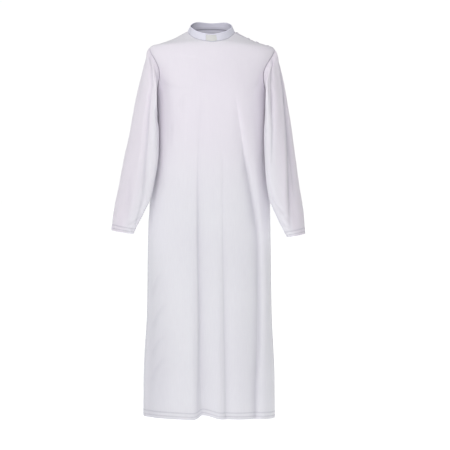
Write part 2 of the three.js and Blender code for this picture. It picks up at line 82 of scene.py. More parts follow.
# level, front, back, squareness, sway to the wearer's left
DEPTHS = (
    (60, 12, 46, 2, 3), (18, 16, 68, 2, 3), (0, 22, 78, 2, 3), (-12, 40, 84, 2, 4), (-21, 55, 88, 2, 4.5),
    (-33, 70, 93, 2.02, 5), (NECK_FRONT, 92, 98, 2.05, 6), (-100, 108, 108, 2.15, 6),
    (-170, 122, 116, 2.25, 4), (-260, 130, 116, 2.3, 3), (-400, 130, 110, 2.3, 4), (-560, 128, 108, 2.3, 0),
    (-700, 126, 108, 2.3, -4), (-1000, 124, 112, 2.3, -5), (HEM_Z, 126, 118, 2.3, -6),
)
# level, how far forward of the side the seam lies on the wearer's left and right, as angles
SIDE_SEAMS = ((UNDERARM_Z, 0, 0), (-620, 0.03, 0.14), (HEM_Z, 0.08, 0.3))
# start and middle level, x at start, middle and hem, near and far width, depth at middle and hem, hem lift,
# and how sharp it is: 2 is a round fold, 1 a sharp one
FRONT_FOLDS = (
    (-440, -950, -37, -37, -28, 15, 46, 7, 34, 9, 2),
    (-760, -1000, 62, 58, 66, 22, 24, 6, 13, -1, 2),
    (-200, -800, 84, 177, 171, 44, 13, 15, 19, -4, 1.25),
    (-300, -560, -136, -138, -150, 30, 36, 3, 3, 0, 2),
    (-280, -430, -52, -54, -60, 22, 26, 3, 0, 0, 2),
)
BACK_FOLDS = (
    (-330, -800, -120, -140, -150, 28, 34, 9, 20, 2, 1.5),
    (-420, -900, -48, -58, -62, 34, 22, 8, 24, 4, 1.7),
    (-360, -850, 30, 34, 28, 24, 36, 9, 22, 3, 1.7),
    (-300, -820, 104, 126, 134, 36, 26, 11, 24, 3, 1.5),
)
# share of the length, outer and inner line's y, pull and away: the same for both sleeves
SLEEVE_DEPTHS = (
    (0, 0, 0, -22, 0), (0.05, -1, -12, -16, 8), (0.12, -2, -40, -12, 14), (0.22, -4, -50, -8, 13),
    (0.33, -6, -61, -3, 11), (0.44, -10, -73, 0, 9), (0.56, -16, -84, 0, 7), (0.67, -28, -92, 0, 5),
    (0.78, -44, -98, 0, 2), (0.89, -60, -98, 0, 0), (1, -80, -96, 0, 0),
)
# share of the length, outer line's x (distance from the middle) and z, inner line's x and z, front, back
SLEEVES = {
    1: (
        (0, 223, -56, 200, -239, 88, 76), (0.05, 230, -66, 200.3, -250, 91, 78),
        (0.12, 237.5, -88, 197.4, -264, 88, 78), (0.22, 249, -124, 193.5, -290, 80, 76),
        (0.33, 262.5, -180, 191, -322, 70, 72), (0.44, 273, -244, 189, -364, 62, 68),
        (0.56, 290, -348, 190, -436, 56, 62), (0.67, 304, -456, 195, -516, 52, 58),
        (0.78, 318, -560, 206, -596, 48, 54), (0.89, 330, -642, 233, -662, 44, 48),
        (1, 335, -718, 269, -731, 40, 42),
    ),
    -1: (
        (0, 211, -56, 194, -239, 88, 76), (0.05, 220.5, -66, 193, -250, 90, 78),
        (0.12, 226, -88, 189, -264, 88, 78), (0.22, 237.5, -124, 187, -290, 80, 76),
        (0.33, 252, -180, 184.5, -322, 70, 72), (0.44, 267, -244, 180, -364, 62, 68),
        (0.56, 286, -348, 181, -436, 56, 62), (0.67, 308, -452, 190, -514, 52, 58),
        (0.78, 325, -552, 207, -590, 48, 54), (0.89, 341, -632, 236, -654, 44, 48),
        (1, 348, -706, 269, -719, 38, 40),
    ),
}
# share, how far the front of a sleeve lies over the body's side
TUCK = ((0, 0), (0.08, 5), (0.2, 9), (0.36, 8), (0.55, 3), (0.7, 0), (1, 0))
# start and end share, start and end turn, width in turns, depth
SLEEVE_FOLDS = {
    1: ((0, 0.6, 0.38, 0.15, 0.05, 6), (0.1, 0.98, 0.43, 0.27, 0.045, 5), (0.15, 0.8, 0.72, 0.66, 0.06, 7)),
    -1: ((0.05, 0.95, 0.29, 0.14, 0.05, 6), (0.1, 0.75, 0.7, 0.64, 0.06, 7)),
}

# ---- Creases that only the cloth shells have --------------------
# Each is a line of (x, z, depth) on a panel, with the widths of its near (-x) and far (+x) sides.
FRONT_CREASES = (
    (16, 5, ((83, -223, 0), (93, -275, 2.4), (106, -353, 4.5), (118, -422, 6), (132, -491, 7),
             (145, -560, 7.5), (164, -656, 8), (175, -734, 7.5), (178, -836, 7), (180, -967, 7),
             (179, -1097, 7), (170, -1250, 7), (168, HEM_Z, 6))),
    (11, 14, ((146, -330, 0), (163, -520, -2), (184, -720, -3.5), (195, -900, -3.5), (184, HEM_Z, -2.5))),
    (3.2, 18, ((-36, -360, 0), (-41, -420, 1.4), (-43.6, -540, 2.4), (-43.6, -704, 4.2), (-41, -914, 5.2),
               (-40, -1050, 5.6), (-43, -1200, 5), (-48, HEM_Z, 4))),
    (17, 11, ((-62, -560, 0), (-64, -760, -2.4), (-63, -1000, -3.6), (-66, HEM_Z, -5))),
    (5, 10, ((43, -400, 0), (44, -470, 1.0), (44, -620, 1.4), (45, -704, 2.4), (47, -850, 3.4),
             (50, -1019, 4), (53, -1150, 4.2), (55, HEM_Z, 4))),
    (13, 10, ((18, -640, 0), (24, -800, -1.8), (31, -1050, -3), (34, HEM_Z, -3.4))),
    (3, 4, ((-41, -430, 0), (-43.6, -540, 1.2), (-43.6, -704, 2.2), (-41, -914, 2.4), (-40, -1050, 2.2),
            (-45, -1250, 0))),
    (50, 60, ((92, -110, 0), (98, -200, -5), (106, -330, -6), (118, -500, 0))),
    (30, 42, ((-222, -600, 0), (-216, -860, 3.4), (-214, -1100, 5.5), (-218, HEM_Z, 5.5))),
    (24, 30, ((-180, -780, 0), (-170, -960, 1), (-166, -1120, 1.2), (-172, HEM_Z, 0.6))),
    (5, 8, ((-176, -850, 0), (-192, -880, 1.7), (-206, -925, 1.6), (-208, -950, 0))),
    (6, 9, ((-150, -955, 0), (-180, -990, 1.8), (-204, -1038, 2), (-207, -1062, 0))),
    (5, 8, ((-163, -1075, 0), (-187, -1100, 1.7), (-206, -1136, 1.7), (-209, -1160, 0))),
    (6, 9, ((-158, -1150, 0), (-186, -1182, 1.8), (-208, -1226, 1.8), (-211, -1250, 0))),
    (5, 6, ((-103, -236, 0), (-105, -262, 1.6), (-108, -285, 0))),
    (6, 7, ((-90, -228, 0), (-94, -262, 1.4), (-98, -300, 0))),
    (7, 6, ((-134, -316, 0), (-136, -350, 1.6), (-137, -395, 1.4), (-140, -430, 0))),
    (12, 14, ((-26, -236, 0), (-32, -290, 1.0), (-38, -380, 0.9), (-41, -440, 0))),
    (22, 26, ((-182, -150, 0), (-160, -205, 2.0), (-150, -300, 2.4), (-150, -440, 0))),
    (12, 10, ((186, -150, 0), (160, -205, 2.4), (124, -240, 1.4), (84, -262, 0))),
    (14, 12, ((-186, -160, 0), (-160, -196, 1.8), (-112, -218, 0))),
    (20, 22, ((150, -250, 0), (160, -330, 1.6), (174, -460, 0))),
)
BACK_CREASES = (
    (6, 14, ((-60, -180, 0), (-90, -300, 2.4), (-120, -460, 3.4), (-132, -760, 3), (-146, HEM_Z, 5))),
    (13, 6, ((70, -170, 0), (92, -300, 2.6), (112, -480, 3.6), (126, -820, 3), (134, HEM_Z, 5))),
    (14, 8, ((-8, -420, 0), (-14, -640, -2.6), (-16, -1000, -4), (-14, HEM_Z, -5))),
    (8, 12, ((176, -140, 0), (150, -230, 2.4), (96, -300, 0))),
    (12, 8, ((-176, -140, 0), (-146, -236, 2.2), (-90, -310, 0))),
    (5, 10, ((30, -560, 0), (33, -900, 3), (28, HEM_Z, 5))),
    (4, 12, ((-58, -700, 0), (-60, -980, 3.4), (-64, HEM_Z, 4.6))),
    (10, 14, ((-16, -150, 0), (-20, -260, 1.6), (-12, -380, 0))),
)
# How sharp a crease is, and how much darker, as painted shade, each millimetre of its depth makes the body
# and the sleeves
CREASE_POWER, CREASE_SHADE, SLEEVE_SHADE = 1.5, 0.04, 0.064
# Each is (start share, start turn, end share, end turn, width mm, depth mm) on a sleeve.
SLEEVE_CREASES = {
    1: (
        (0.0, 0.345, 0.26, 0.312, 5, 6.5), (0.2, 0.32, 0.44, 0.2, 4.5, 5), (0.3, 0.28, 0.64, 0.15, 6, 4),
        (0.02, 0.428, 0.38, 0.39, 11, -4.2), (0.3, 0.41, 0.86, 0.24, 14, -3.6),
        (0.1, 0.462, 0.36, 0.392, 5, 4.5), (0.26, 0.442, 0.8, 0.36, 9, 5.5), (0.03, 0.465, 0.46, 0.425, 7, 7),
        (0.4, 0.346, 0.95, 0.3, 15, 1.5), (0.24, 0.444, 0.66, 0.36, 5.5, 5),
        (0.55, 0.38, 0.97, 0.25, 6.5, 4.4), (0.06, 0.27, 0.4, 0.142, 9, -2.2),
        (0.5, 0.326, 0.85, 0.24, 11, -2), (0.6, 0.98, 0.52, 0.8, 9, 2.2), (0.74, 0.08, 0.93, 0.18, 8, 2),
        (0.35, 0.9, 0.62, 0.84, 12, 2.4), (0.66, 0.6, 0.95, 0.56, 10, 2), (0.9, 0.02, 0.97, 0.16, 5, 2),
        (0.86, 0.06, 0.9, 0.2, 6, -1.4),
    ),
    -1: (
        (0.0, 0.37, 0.27, 0.272, 5, 5), (0.2, 0.294, 0.74, 0.19, 5.5, 4.4), (0.62, 0.202, 0.99, 0.1, 7, 3.6),
        (0.28, 0.308, 0.8, 0.236, 9, -3), (0.03, 0.306, 0.24, 0.228, 9, -2.2), (0.6, 0.98, 0.54, 0.8, 9, 2.2),
        (0.7, 0.32, 0.95, 0.24, 10, 1.6), (0.28, 0.438, 0.46, 0.376, 12, 1.2),
        (0.36, 0.88, 0.64, 0.83, 12, 2.2), (0.64, 0.58, 0.94, 0.55, 10, 2), (0.88, 0.02, 0.96, 0.15, 5, 2),
        (0.84, 0.05, 0.88, 0.18, 6, -1.4),
    ),
}


# ---- Curves and surfaces ----------------------------------------
def smoothstep(x, low, high):
    t = np.clip((x - low) / (high - low), 0, 1)
    return t * t * (3 - 2 * t)


def lerp(a, b, t):
    return a + (b - a) * t


def run_lengths(points, axis=0):
    """How far along a line, or along a grid's columns (axis 0) or rows (axis 1), each of its points is."""
    steps = np.linalg.norm(np.diff(points, axis=axis), axis=-1).cumsum(axis=axis)
    return np.concatenate([0 * steps.take([0], axis=axis), steps], axis=axis)


def track(rows, column):
    """A smooth curve through a table's column that never overshoots, as a function of its first column."""
    rows = sorted(rows)
    keys = np.array([row[0] for row in rows], float)
    values = np.array([row[column] for row in rows], float)
    slope = np.diff(values) / np.diff(keys)
    product, total = slope[:-1] * slope[1:], slope[:-1] + slope[1:]
    inner = np.where(product > 0, 2 * product / np.where(product > 0, total, 1), 0)
    tangent = np.concatenate([slope[:1], inner, slope[-1:]])

    def at(x):
        x = np.asarray(x, float)
        i = np.clip(np.searchsorted(keys, x) - 1, 0, len(keys) - 2)
        span = keys[i + 1] - keys[i]
        t = np.clip((x - keys[i]) / span, 0, 1)
        to_b = t * t * (3 - 2 * t)
        bend = tangent[i] * span * t * (1 - t) ** 2 + tangent[i + 1] * span * t * t * (t - 1)
        return values[i] * (1 - to_b) + values[i + 1] * to_b + bend

    return at


half_width = track(WIDTHS, 1)
front_depth, back_depth, squareness, sway = (track(DEPTHS, column) for column in (1, 2, 3, 4))
seam_left, seam_right = track(SIDE_SEAMS, 1), track(SIDE_SEAMS, 2)


def signed_power(value, power):
    return np.sign(value) * np.abs(value) ** power


def point(x, y, z):
    return np.stack(np.broadcast_arrays(x, y, z), axis=-1).astype(float)


def unit(v):
    return v / np.maximum(np.linalg.norm(v, axis=-1, keepdims=True), 1e-12)


def body_point(angle, z):
    """A place on the body at a level. The angle runs from the wearer's left (0) round the front."""
    power = 2 / squareness(z)
    x = sway(z) + half_width(z) * signed_power(np.cos(angle), power)
    depth = np.where(np.sin(angle) >= 0, -front_depth(z), back_depth(z))
    return point(x, depth * np.abs(np.sin(angle)) ** power, z)


def body_normal(angle, z):
    round_it = body_point(angle + 0.004, z) - body_point(angle - 0.004, z)
    up = body_point(angle, z + 0.5) - body_point(angle, z - 0.5)
    return unit(np.cross(up, round_it))


def level_over(x, y):
    """The level at which the upper surface passes over a place in plan."""
    above, below = np.full(x.shape, 60.0), np.full(x.shape, -150.0)
    for _ in range(26):
        z = (above + below) / 2
        across = np.abs(x - sway(z)) / half_width(z)
        deep = np.abs(y) / np.where(y < 0, front_depth(z), back_depth(z))
        outside = across ** squareness(z) + deep ** squareness(z) > 1
        above, below = np.where(outside, z, above), np.where(outside, below, z)
    return (above + below) / 2


def oval_point(angle, end_z, middle_z):
    """A place on an oval over the shoulders, from its level at the sides and at the front or back."""
    power = 2 / squareness(end_z)
    across, forward = signed_power(np.cos(angle), power), signed_power(np.sin(angle), power)
    x = lerp(sway(middle_z), sway(end_z), np.abs(across)) + half_width(end_z) * across
    y = -forward * np.where(forward > 0, front_depth(middle_z), back_depth(middle_z))
    return point(x, y, level_over(x, y))


def neck_point(angle):
    return oval_point(angle, np.zeros_like(angle), np.where(np.sin(angle) > 0, NECK_FRONT, NECK_BACK))


def leant(points):
    """The points with the wearer's left shoulder lowered a little, as in the photo."""
    points = points.copy()
    points[..., 2] -= LEAN * points[..., 0] * smoothstep(points[..., 2], -320, -20)
    return points


def grid_normals(points, closed=False):
    """The outward direction at each point of a grid, whose rows are rings where closed is true."""
    up = np.empty_like(points)
    up[1:-1], up[0], up[-1] = points[2:] - points[:-2], points[1] - points[0], points[-1] - points[-2]
    if closed:
        across = np.roll(points, -1, axis=1) - np.roll(points, 1, axis=1)
    else:
        across = np.empty_like(points)
        across[:, 1:-1] = points[:, 2:] - points[:, :-2]
        across[:, 0], across[:, -1] = points[:, 1] - points[:, 0], points[:, -1] - points[:, -2]
    return unit(np.cross(up, across))


def waves(seed, count, shortest, longest):
    """A smooth, uneven field of two coordinates in millimetres, about -1 to 1, the same each run."""
    random = np.random.default_rng(seed)
    length = np.exp(random.uniform(math.log(shortest), math.log(longest), count))
    direction = random.uniform(0, TURN, count)
    phase = random.uniform(0, TURN, count)
    weight = length / length.sum() * 1.8

    def field(u, v):
        total = np.zeros(np.broadcast(u, v).shape)
        for i in range(count):
            along = u * math.cos(direction[i]) + v * math.sin(direction[i])
            total += weight[i] * np.sin(TURN * along / length[i] + phase[i])
        return total

    return field


def crease_depth(creases, x, z):
    """How deep the listed creases are at places of a panel."""
    depth = np.zeros(np.broadcast(x, z).shape)
    for near, far, line in creases:
        rows = [(level, place, deep) for place, level, deep in line]
        place_at, levels = track(rows, 1), [row[0] for row in rows]
        inside = smoothstep(z, min(levels) - 30, min(levels)) if min(levels) > HEM_Z else 1.0
        inside = inside * (1 - smoothstep(z, max(levels), max(levels) + 30))
        off = x - place_at(z)
        slant = 1 / np.sqrt(1 + ((place_at(z + 4) - place_at(z - 4)) / 8) ** 2)
        width = np.where(off < 0, near, far) / slant
        depth += track(rows, 2)(z) * inside * np.exp(-np.abs(off / width) ** CREASE_POWER)
    return depth


def fold_depth(folds, x, z):
    """How deep the large folds are at places of a panel, and how far they lift its hem."""
    depth, lift = np.zeros_like(x), np.zeros_like(x)
    for start_z, mid_z, start_x, mid_x, hem_x, near, far, mid, hem, up, power in folds:
        rows = ((start_z, start_x, 0), (mid_z, mid_x, mid), (HEM_Z, hem_x, hem))
        level = np.clip(z, HEM_Z, start_z)
        off = x - track(rows, 1)(level)
        share = np.exp(-np.abs(off / np.where(off < 0, near, far)) ** power)
        depth += share * track(rows, 2)(level)
        lift += share * up
    return depth, lift


def armhole(share, reach):
    """The angle and the level of the armhole's line, from the underarm to the shoulder tip."""
    angle = reach * np.clip(np.sin(np.pi * share), 0, 1) ** ARMHOLE_POWER
    return angle, lerp(UNDERARM_Z, TIP_Z, (1 - np.cos(np.pi * share)) / 2)


# ---- Meshes -----------------------------------------------------
def new_object(name, data):
    made = bpy.data.objects.new(name, data)
    bpy.context.scene.collection.objects.link(made)
    return made


def mesh_piece(name, material, points, faces, cloth=None, seam=None, nodes=(), slot=None):
    """A piece from points in millimetres. cloth is each point's place on the flat cloth, in metres, and its
    share of the second colour. seam is its share of the darker colour of stitched lines and of painted
    shade in creases and in the lines' grooves."""
    mesh = bpy.data.meshes.new(name)
    mesh.from_pydata(leant(np.reshape(points, (-1, 3))) * MM, [], faces)
    mesh.validate()
    if cloth is not None:
        values = cloth.astype(np.float32).ravel()
        mesh.attributes.new("cloth", "FLOAT_VECTOR", "POINT").data.foreach_set("vector", values)
    # The seam attribute carries the darker colour of stitched lines and the painted shade of creases.
    if seam is not None:
        values = seam.astype(np.float32).ravel()
        mesh.attributes.new("seam", "FLOAT", "POINT").data.foreach_set("value", values)
    mesh.polygons.foreach_set("use_smooth", [True] * len(mesh.polygons))
    mesh.materials.append(material)
    mesh.update()
    piece = new_object(name, mesh)
    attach(piece, "root")
    if nodes:
        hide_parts(*nodes)
    return piece


# How many rows round off each end of a cloth wall
CAP_ROWS = 3


def cap_rows(outer, inner, tangent):
    """Rows of points round a cloth edge, from its outer to its inner side."""
    middle, half = (outer + inner) / 2, (outer - inner) / 2
    radius = np.linalg.norm(half, axis=-1, keepdims=True)
    turns = [math.pi * (i + 1) / (CAP_ROWS + 1) for i in range(CAP_ROWS)]
    return [middle + half * math.cos(t) + tangent * radius * math.sin(t) for t in turns]


def round_wall(outer, inner):
    """Rows of values for a wall: its outer side, its end's edge, its inner side and its start's edge."""
    end, start = outer[-1:].repeat(CAP_ROWS, 0), outer[:1].repeat(CAP_ROWS, 0)
    return np.concatenate([outer, end, inner[::-1], start])


def shell(name, material, outer, normal, wall, seam=0, accent=0, inside_light=0, closed=False, flat=None, **ties):
    """A closed cloth wall behind a grid of outer points, with rounded edges at its first and last rows.
    Its rows are rings where closed is true. seam and accent are each outer point's share of the darker
    colour of stitched lines and painted shade, and of the second colour, and lining is the inner side's
    share of the second colour, painted light on an inside that lies in shade."""
    plain = np.zeros(outer.shape[:2])
    seam, accent = plain + seam, plain + accent
    flat = flat_places(outer) if flat is None else flat
    inner = outer - normal * wall
    start = cap_rows(outer[0], inner[0], unit(outer[0] - outer[1]))
    end = cap_rows(outer[-1], inner[-1], unit(outer[-1] - outer[-2]))
    loop = np.concatenate([outer, np.array(end), inner[::-1], np.array(start[::-1])])
    rows, columns = loop.shape[:2]
    index = np.arange(rows * columns).reshape(rows, columns)
    after = np.roll(index, -1, axis=0)
    if closed:
        left, right = index, np.roll(index, -1, axis=1)
        left_after, right_after = after, np.roll(after, -1, axis=1)
    else:
        left, right, left_after, right_after = index[:, :-1], index[:, 1:], after[:, :-1], after[:, 1:]
    faces = np.stack([left, left_after, right_after, right], axis=-1).reshape(-1, 4).tolist()
    if not closed:
        faces += side_faces(index[:, 0], len(outer))
        faces += [face[::-1] for face in side_faces(index[:, -1], len(outer))]
    cloth = np.dstack([round_wall(flat, flat), round_wall(accent, np.maximum(accent, inside_light))])
    return mesh_piece(name, material, loop, faces, cloth, round_wall(seam, plain), **ties)


def side_faces(line, count):
    """The faces that close an open wall's side, from the side's points and the number of outer rows."""
    line = line.tolist()
    back = line[count + CAP_ROWS : 2 * count + CAP_ROWS][::-1]
    faces = [[line[r], back[r], back[r + 1], line[r + 1]] for r in range(count - 1)]
    faces.append([back[-1], *line[count : count + CAP_ROWS][::-1], line[count - 1]])
    faces.append([line[0], *line[2 * count + CAP_ROWS :][::-1], back[0]])
    return faces


def flat_places(points):
    """Each grid point's place on the flat cloth, in metres: across its row, and along its columns."""
    across = run_lengths(points, 1)
    along = run_lengths(points).mean(axis=1, keepdims=True)
    return np.stack(np.broadcast_arrays(across - across[:, -1:] / 2, along), axis=-1) * MM


# ---- Materials --------------------------------------------------
def linear(r, g, b):
    return tuple(((c / 255 + 0.055) / 1.055) ** 2.4 for c in (r, g, b)) + (1,)


class Nodes:
    """Short calls for building a node tree."""

    def __init__(self, tree):
        self.tree = tree

    def node(self, kind, output, inputs, **properties):
        """Adds a node, gives its inputs values or other nodes' outputs, and returns one of its outputs."""
        node = self.tree.nodes.new("ShaderNode" + kind)
        for key, value in properties.items():
            setattr(node, key, value)
        for key, value in inputs.items():
            if isinstance(value, bpy.types.NodeSocket):
                self.tree.links.new(value, node.inputs[key])
            else:
                node.inputs[key].default_value = value
        return node.outputs[output]

    def math(self, operation, a, b=0.0):
        return self.node("Math", 0, {0: a, 1: b}, operation=operation)

    def noise(self, vector, scale, detail=2.0, distortion=0.0):
        inputs = {"Vector": vector, "Scale": scale, "Detail": detail, "Distortion": distortion}
        return self.node("TexNoise", "Fac", inputs)

    def mix(self, factor, a, b):
        return self.node("Mix", 2, {0: factor, 6: a, 7: b}, data_type="RGBA")

    def spread(self, value, low, high, to_low, to_high):
        return self.node("MapRange", 0, {0: value, 1: low, 2: high, 3: to_low, 4: to_high})

    def bump(self, height, strength, distance, before=None):
        inputs = {"Strength": strength, "Distance": distance, "Height": height}
        if before is not None:
            inputs["Normal"] = before
        return self.node("Bump", "Normal", inputs)


class Material(Nodes):
    """A material's nodes. The settings are its shader's constant values."""

    def __init__(self, name, **settings):
        self.material = bpy.data.materials.new(name)
        self.material.use_nodes = True
        super().__init__(self.material.node_tree)
        self.shader = self.tree.nodes["Principled BSDF"]
        for socket, value in settings.items():
            self.shader.inputs[socket.replace("_", " ")].default_value = value

    def feed(self, value, socket):
        """Links a node's output to a socket of the shader."""
        self.tree.links.new(value, self.shader.inputs[socket])

    def place(self):
        """Places in the piece's own coordinates."""
        return self.node("TexCoord", "Object", {})


# The darker colour of stitched lines, partly their own and partly painted shade in their grooves, and of
# painted crease shade
SEWN_AND_SHADE = (158, 155, 170)


def cloth_material(name, tint, shade, accent, thread, weave_strength):
    """Woven polyester: crossing threads, slubs, faint unevenness of colour, a slight sheen.
    thread is the distance between two threads, in metres."""
    n = Material(name, Roughness=0.82, Sheen_Weight=0.12, Sheen_Roughness=0.5, Specular_IOR_Level=0.25,
                 Subsurface_Weight=0.2, Subsurface_Radius=(1, 1, 1), Subsurface_Scale=0.001)
    cloth = n.node("Attribute", "Vector", {}, attribute_name="cloth")
    across, along, accent_share = (n.node("SeparateXYZ", axis, {0: cloth}) for axis in "XYZ")
    wobble = n.math("MULTIPLY", n.math("SUBTRACT", n.noise(cloth, 160, 1), 0.5), thread * 0.9)
    warp, weft = (n.math("SINE", n.math("MULTIPLY", n.math("ADD", place, wobble), TURN / thread))
                  for place in (across, along))
    weave = n.math("MULTIPLY", warp, weft)
    stretched = n.node("Mapping", "Vector", {"Vector": cloth, "Scale": (260, 22, 1)})
    slubs = n.noise(stretched, 1.0, 3)
    broad, fine = n.noise(n.place(), 3.2, 2), n.noise(n.place(), 42, 3)
    uneven = n.math("ADD", n.math("MULTIPLY", broad, 0.6), n.math("MULTIPLY", slubs, 0.4))
    colour = n.mix(n.spread(uneven, 0.3, 0.7, 0, 1), linear(*shade), linear(*tint))
    # The second colour is painted light: on the robe a pinker cast of the light, on the collar a highlight at
    # the rim and a lighter inside that lies in shade; the neck tape has some of it too.
    colour = n.mix(accent_share, colour, linear(*accent))
    # Darker at stitched lines, partly painted shade in their grooves, and painted shade in creases.
    colour = n.mix(n.node("Attribute", "Fac", {}, attribute_name="seam"), colour, linear(*SEWN_AND_SHADE))
    between = tuple(c * 0.82 for c in linear(*shade)[:3]) + (1,)
    n.feed(n.mix(n.spread(weave, -1, 1, 0, 0.10), colour, between), "Base Color")
    n.feed(n.spread(fine, 0.3, 0.7, 0.76, 0.88), "Roughness")
    slubbed = n.bump(slubs, 0.12, 0.0004, n.bump(fine, 0.10, 0.0016))
    n.feed(n.bump(weave, weave_strength, 0.00012, slubbed), "Normal")
    return n.material


def thread_material():
    n = Material("sewing_thread", Roughness=0.6, Sheen_Weight=0.1, Specular_IOR_Level=0.35)
    twist = n.noise(n.place(), 900, 2)
    n.feed(n.mix(twist, linear(214, 211, 222), linear(236, 234, 240)), "Base Color")
    n.feed(n.bump(twist, 0.3, 0.0002), "Normal")
    return n.material


def tab_material():
    """Matte off-white plastic with a fine moulded grain."""
    n = Material("tab_plastic", Roughness=0.42, Specular_IOR_Level=0.45)
    cloud, grain = n.noise(n.place(), 26, 3), n.noise(n.place(), 700, 2)
    n.feed(n.mix(cloud, linear(203, 203, 202), linear(213, 213, 211)), "Base Color")
    n.feed(n.spread(grain, 0.3, 0.7, 0.36, 0.5), "Roughness")
    n.feed(n.bump(grain, 0.12, 0.0002), "Normal")
    return n.material


def button_material():
    """Glossy plastic with a faint pearl swirl."""
    n = Material("button_plastic", Roughness=0.22, Specular_IOR_Level=0.55, Coat_Weight=0.25)
    swirl = n.noise(n.place(), 190, 3, 1.4)
    pearl = n.spread(swirl, 0.35, 0.65, 0, 1)
    n.feed(n.mix(pearl, linear(205, 203, 212), linear(232, 230, 236)), "Base Color")
    n.feed(n.spread(swirl, 0.3, 0.7, 0.18, 0.3), "Roughness")
    n.feed(n.bump(swirl, 0.05, 0.0003), "Normal")
    return n.material


# Each cloth: the two colours of its uneven tone, then its second colour, which is painted light: the robe's
# pinker cast, the collar's rim highlight and lighter shaded inside.
ROBE = cloth_material("robe_cloth", (232, 231, 236), (225, 223, 230), (232, 223, 234), 0.0011, 0.35)
COLLAR = cloth_material("collar_cloth", (226, 225, 236), (218, 217, 230), (241, 239, 255), 0.0009, 0.3)
THREAD = thread_material()
TAB = tab_material()
BUTTON = button_material()

# ---- Body panels ------------------------------------------------
# For each panel: its side, its rows' middle levels at the shoulder tip and the neck, its columns and the
# zones where they lie closer, its broad and small unevenness, and the seeds of its puckers
FRONT = SimpleNamespace(
    name="front", sign=1, reach=ARMHOLE_FRONT, shoulder_middle=-104, neck_middle=NECK_FRONT,
    folds=FRONT_FOLDS, creases=FRONT_CREASES, columns=200, zones=((0.2, 0.46), (0.53, 0.58), (0.76, 0.86)),
    uneven=waves(11, 26, 60, 320), small=waves(5, 20, 22, 60), seam_seed=31, hem_seed=41,
)
BACK = SimpleNamespace(
    name="back", sign=-1, reach=ARMHOLE_BACK, shoulder_middle=-62, neck_middle=NECK_BACK,
    folds=BACK_FOLDS, creases=BACK_CREASES, columns=184, zones=((0.25, 0.35), (0.46, 0.56), (0.66, 0.76)),
    uneven=waves(23, 26, 60, 320), small=waves(7, 20, 22, 60), seam_seed=37, hem_seed=43,
)
SEAM_SHARES, FIRST_SHARE = np.array([0.0016, 0.0036, 0.0065, 0.0105]), 0.0155
# Levels over which the painted pinker cast of the light comes in up the body, and fades on the shoulders
PINK_LIGHT_COMES, PINK_LIGHT_FADES = (-660, -300), (-75, -35)
HEM_ROWS = (0, 1.2, 3, 6, 8, 9, 10, 11, 12.2, 15, 19, 21, 22, 23, 24, 25.2, 28, 31, 36, 42)


def panel_shares(panel):
    """Shares across a panel, closer together in the zones of its creases and beside its two seams."""
    dense = np.linspace(FIRST_SHARE, 1 - FIRST_SHARE, 2000)
    extra = sum(smoothstep(dense, a - 0.02, a) - smoothstep(dense, b, b + 0.02) for a, b in panel.zones)
    run = np.cumsum(1 + 0.9 * extra)
    plain = np.interp(np.linspace(run[0], run[-1], panel.columns), run, dense)
    return np.concatenate([[0], SEAM_SHARES, plain, 1 - SEAM_SHARES[::-1], [1]])


def panel_rows(panel):
    """End level, middle level and end angles of each row, and the two levels of those over the shoulders."""
    skirt = np.linspace(HEM_Z + HEM_ROWS[-1] + 6, UNDERARM_Z, 132)
    level = np.concatenate([HEM_Z + np.array(HEM_ROWS), skirt])
    rows = [(z, z, panel.sign * float(seam_left(z)), panel.sign * float(seam_right(z))) for z in level]
    for share in np.linspace(0, 1, 47)[1:]:
        angle, z = armhole(share, panel.reach)
        middle = lerp(UNDERARM_Z, panel.shoulder_middle, smoothstep(share, -0.4, 1.2))
        rows.append((float(z), float(middle), float(angle), float(angle)))
    tip_middle = rows[-1][1]
    shoulder = track([(width, z) for z, width in WIDTHS if TIP_Z <= z <= 0], 1)
    ovals = []
    for share in np.linspace(0, 1, 27)[1:]:
        z = float(shoulder(lerp(TIP_HALF, NECK_HALF, share)))
        ovals.append((z, lerp(tip_middle, panel.neck_middle, share)))
    return np.array(rows), np.array(ovals)


def panel_points(panel, rows, ovals, shares, plain=False):
    """The outer points of a panel, and how shaded by creases each row below the shoulders is.
    plain leaves out the creases, as for what lies on top of it."""
    t = shares[None, :]
    z, middle, left, right = (rows[:, i : i + 1] for i in range(4))
    angle = panel.sign * lerp(left, np.pi - right, t)
    level = lerp(z, middle, np.sin(np.pi * t) ** 2)
    points = body_point(angle, level)
    out = body_normal(angle, level)
    out[..., 2] = 0
    side = np.abs(np.cos(angle)) ** 4
    depth, lift = fold_depth(panel.folds, points[..., 0], level)
    depth = depth * (1 - side)
    lift = lift * (1 - side) - np.where(np.cos(angle) > 0, *HEM_SIDE_DROP) * side
    shaded = 0 * depth
    if not plain:
        x, from_seam = points[..., 0], np.minimum(t, 1 - t)
        calm = np.minimum(1, from_seam / 0.06)
        creases = crease_depth(panel.creases, x, level)
        lower = smoothstep(-level, 120, 700)
        # The broad unevenness is narrower across the cloth and longer down it, and deeper in the skirt.
        rough = panel.uneven(x * 2.1, level * 0.55) * lerp(1.0, 1.7, lower) + panel.small(x, level) * 0.35
        depth = depth + calm * (creases + rough)
        # Painted shade: the cloth darkens with each crease's depth, up to close beside the seams.
        shaded = CREASE_SHADE * np.maximum(creases * np.minimum(1, from_seam / 0.015), 0)
    points = points - unit(out) * depth[..., None]
    points[..., 2] += lift * (1 - smoothstep(level, HEM_Z, HEM_Z + HEM_ZONE))
    top_angle = panel.sign * lerp(0, np.pi, t) + np.zeros((len(ovals), 1))
    top = oval_point(top_angle, ovals[:, :1] + 0 * t, ovals[:, 1:] + 0 * t)
    points = np.concatenate([points, top])
    return (points, shaded) if panel is FRONT else (points[:, ::-1], shaded[:, ::-1])


